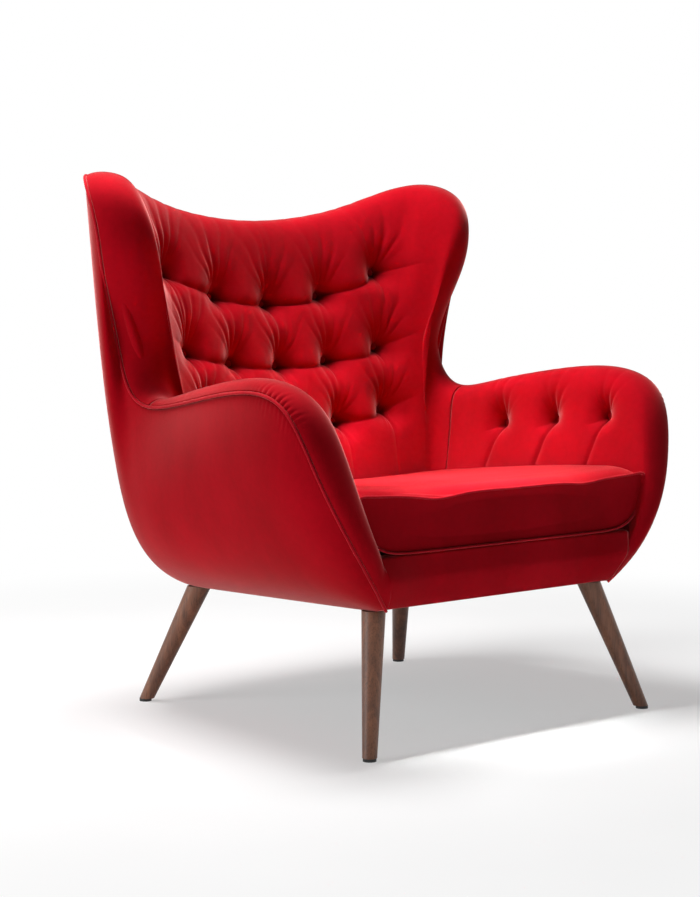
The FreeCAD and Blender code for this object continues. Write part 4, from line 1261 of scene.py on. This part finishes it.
def cut_round_hole(piece, x, y):
    """Takes a round notch out of a sheet."""
    path = np.array([(x, y, underside(y) + z) for z in (-15.0, 0.0, 15.0)])
    cutter = tube("cutter", path, LEG_ROOM, 32)
    cut = piece.modifiers.new("cut", "BOOLEAN")
    cut.operation = "DIFFERENCE"
    cut.solver = "EXACT"
    cut.object = cutter
    apply_modifiers(piece)
    bpy.data.objects.remove(cutter, do_unlink=True)


def staples():
    """Wire staples along the edge of the dust cover."""
    spots = []
    for y in np.linspace(DUST_FRONT + 40, DUST_BACK - DUST_CORNER - 40, 9):
        spots += [(-DUST_HALF + 7, y, 1), (DUST_HALF - 7, y, 1)]
    for x in np.linspace(-205, 205, 10):
        spots.append((x, DUST_FRONT + 7, 0))
    for x in np.linspace(-150, 150, 8):
        spots.append((x, DUST_BACK - 7, 0))
    corners = []
    for x, y, turned in spots:
        half = (0.6, 5.0) if turned else (5.0, 0.6)
        flat = np.array(block_points((x - half[0], y - half[1], -0.6), (x + half[0], y + half[1], 0.35)))
        corners.append(on_frame(flat))
    piece = blocks("dust_staples", corners)
    finish_piece(piece, "zinc_steel")


WALL_DECK = 0.38
STRAP_STATIONS = (-1.8, -0.6, 0.6, 1.8)


def back_webbing():
    """Four jute straps behind the padding of the back."""
    heights = np.linspace(0.44, 0.90, 60)
    for number, station in enumerate(STRAP_STATIONS):
        u = station_u(station + np.linspace(-0.22, 0.22, 14))
        outer = surface(OUTER, u, heights)
        inner = surface(BACKING, u, (1 - heights) / (1 - WALL_DECK))
        weave = 0.15 * np.sin(np.arange(14) * 2.2)[:, None, None]
        near = outer + (inner - outer) * 0.90 - unit(inner - outer) * weave
        far = outer + (inner - outer) * 0.865
        piece = closed_pad("back_strap_%d" % (number + 1), near, far)
        nodes = ["back_webbing"] if number == 0 else []
        finish_piece(piece, "jute_webbing", *nodes)


seat_deck()
dust_cover()
staples()
back_webbing()


# Camera, floor and light

CAMERA_PLACE = (-2.631, -2.943 - DEPTH_OFFSET * MM, 0.796)
CAMERA_AZIMUTH = math.radians(-40.74)
CAMERA_PITCH = math.radians(4.51)
SENSOR_WIDTH = 36.0
FOCAL_SHARE = 2119.0 / 897.0


def camera():
    """The view of the photograph, as solved from symmetric pairs of points."""
    data = bpy.data.cameras.new("camera")
    eye = add_object("camera", data)
    eye.location = CAMERA_PLACE
    level = math.cos(CAMERA_PITCH)
    ahead = Vector((-math.sin(CAMERA_AZIMUTH) * level, math.cos(CAMERA_AZIMUTH) * level,
                    -math.sin(CAMERA_PITCH)))
    eye.rotation_euler = ahead.to_track_quat("-Z", "Y").to_euler()
    data.sensor_width = SENSOR_WIDTH
    data.lens = SENSOR_WIDTH * FOCAL_SHARE
    bpy.context.scene.camera = eye


def floor():
    size = 30.0
    mesh = bpy.data.meshes.new("floor")
    corners = [(-size, -size, 0), (size, -size, 0), (size, size, 0), (-size, size, 0)]
    mesh.from_pydata(corners, [], [(0, 1, 2, 3)])
    piece = add_object("floor", mesh)
    n = Nodes("floor_paint")
    colour = n.ramp(n.noise(3.0, 2.0), (0.3, (0.90, 0.90, 0.90)), (0.7, (0.93, 0.93, 0.93)))
    n.set(Base_Color=colour, Roughness=0.9, Specular_IOR_Level=0.1)
    fade_to_white(n, 0.9, 2.0)
    mesh.materials.append(n.material)


def fade_to_white(n, near, far):
    """Away from the object the floor goes over into the white of the backdrop."""
    distance = n.add("ShaderNodeVectorMath", Vector=n.place)
    distance.operation = "LENGTH"
    share = n.add("ShaderNodeMapRange", Value=distance.outputs["Value"], From_Min=near, From_Max=far)
    share.interpolation_type = "SMOOTHSTEP"
    path = n.add("ShaderNodeLightPath")
    seen = n.math("MAXIMUM", path.outputs["Is Camera Ray"], path.outputs["Is Glossy Ray"])
    white = n.add("ShaderNodeEmission", Color=(1, 1, 1, 1), Strength=1.0)
    share.inputs["To Min"].default_value = 0.45
    both = n.add("ShaderNodeMixShader", Fac=n.math("MULTIPLY", share.outputs["Result"], seen))
    n.put(both.inputs[1], n.shader.outputs["BSDF"])
    n.put(both.inputs[2], white.outputs["Emission"])
    n.put(n.tree.nodes["Material Output"].inputs["Surface"], both.outputs["Shader"])


def area_light(name, place, target, size, power, spread=180):
    data = bpy.data.lights.new(name, "AREA")
    data.shape = "RECTANGLE"
    data.size, data.size_y = size
    data.energy = power
    data.spread = math.radians(spread)
    lamp = add_object(name, data)
    lamp.location = place
    lamp.rotation_euler = (Vector(target) - Vector(place)).to_track_quat("-Z", "Y").to_euler()


def world(strength):
    """Even grey light; what the camera and reflections see is white."""
    scene = bpy.context.scene
    scene.world = bpy.data.worlds.new("studio")
    scene.world.use_nodes = True
    tree = scene.world.node_tree
    background = tree.nodes["Background"]
    background.inputs["Color"].default_value = (1, 1, 1, 1)
    path = tree.nodes.new("ShaderNodeLightPath")
    seen = tree.nodes.new("ShaderNodeMath")
    seen.operation = "MAXIMUM"
    tree.links.new(path.outputs["Is Camera Ray"], seen.inputs[0])
    tree.links.new(path.outputs["Is Glossy Ray"], seen.inputs[1])
    level = tree.nodes.new("ShaderNodeMapRange")
    tree.links.new(seen.outputs["Value"], level.inputs["Value"])
    level.inputs["To Min"].default_value = strength
    level.inputs["To Max"].default_value = 1.0
    tree.links.new(level.outputs["Result"], background.inputs["Strength"])


camera()
floor()
world(0.046)
area_light("key", (-0.35, 0.5, 2.8), (0, 0.1, 0.5), (1.0, 1.0), 92)
area_light("side", (-2.9, 1.0, 1.3), (0, 0, 0.5), (1.2, 1.6), 30)
area_light("seat", (0.0, -0.1, 2.6), (0, -0.12, 0.4), (0.3, 0.3), 4.4, 20)
bpy.context.scene.view_settings.view_transform = "Standard"
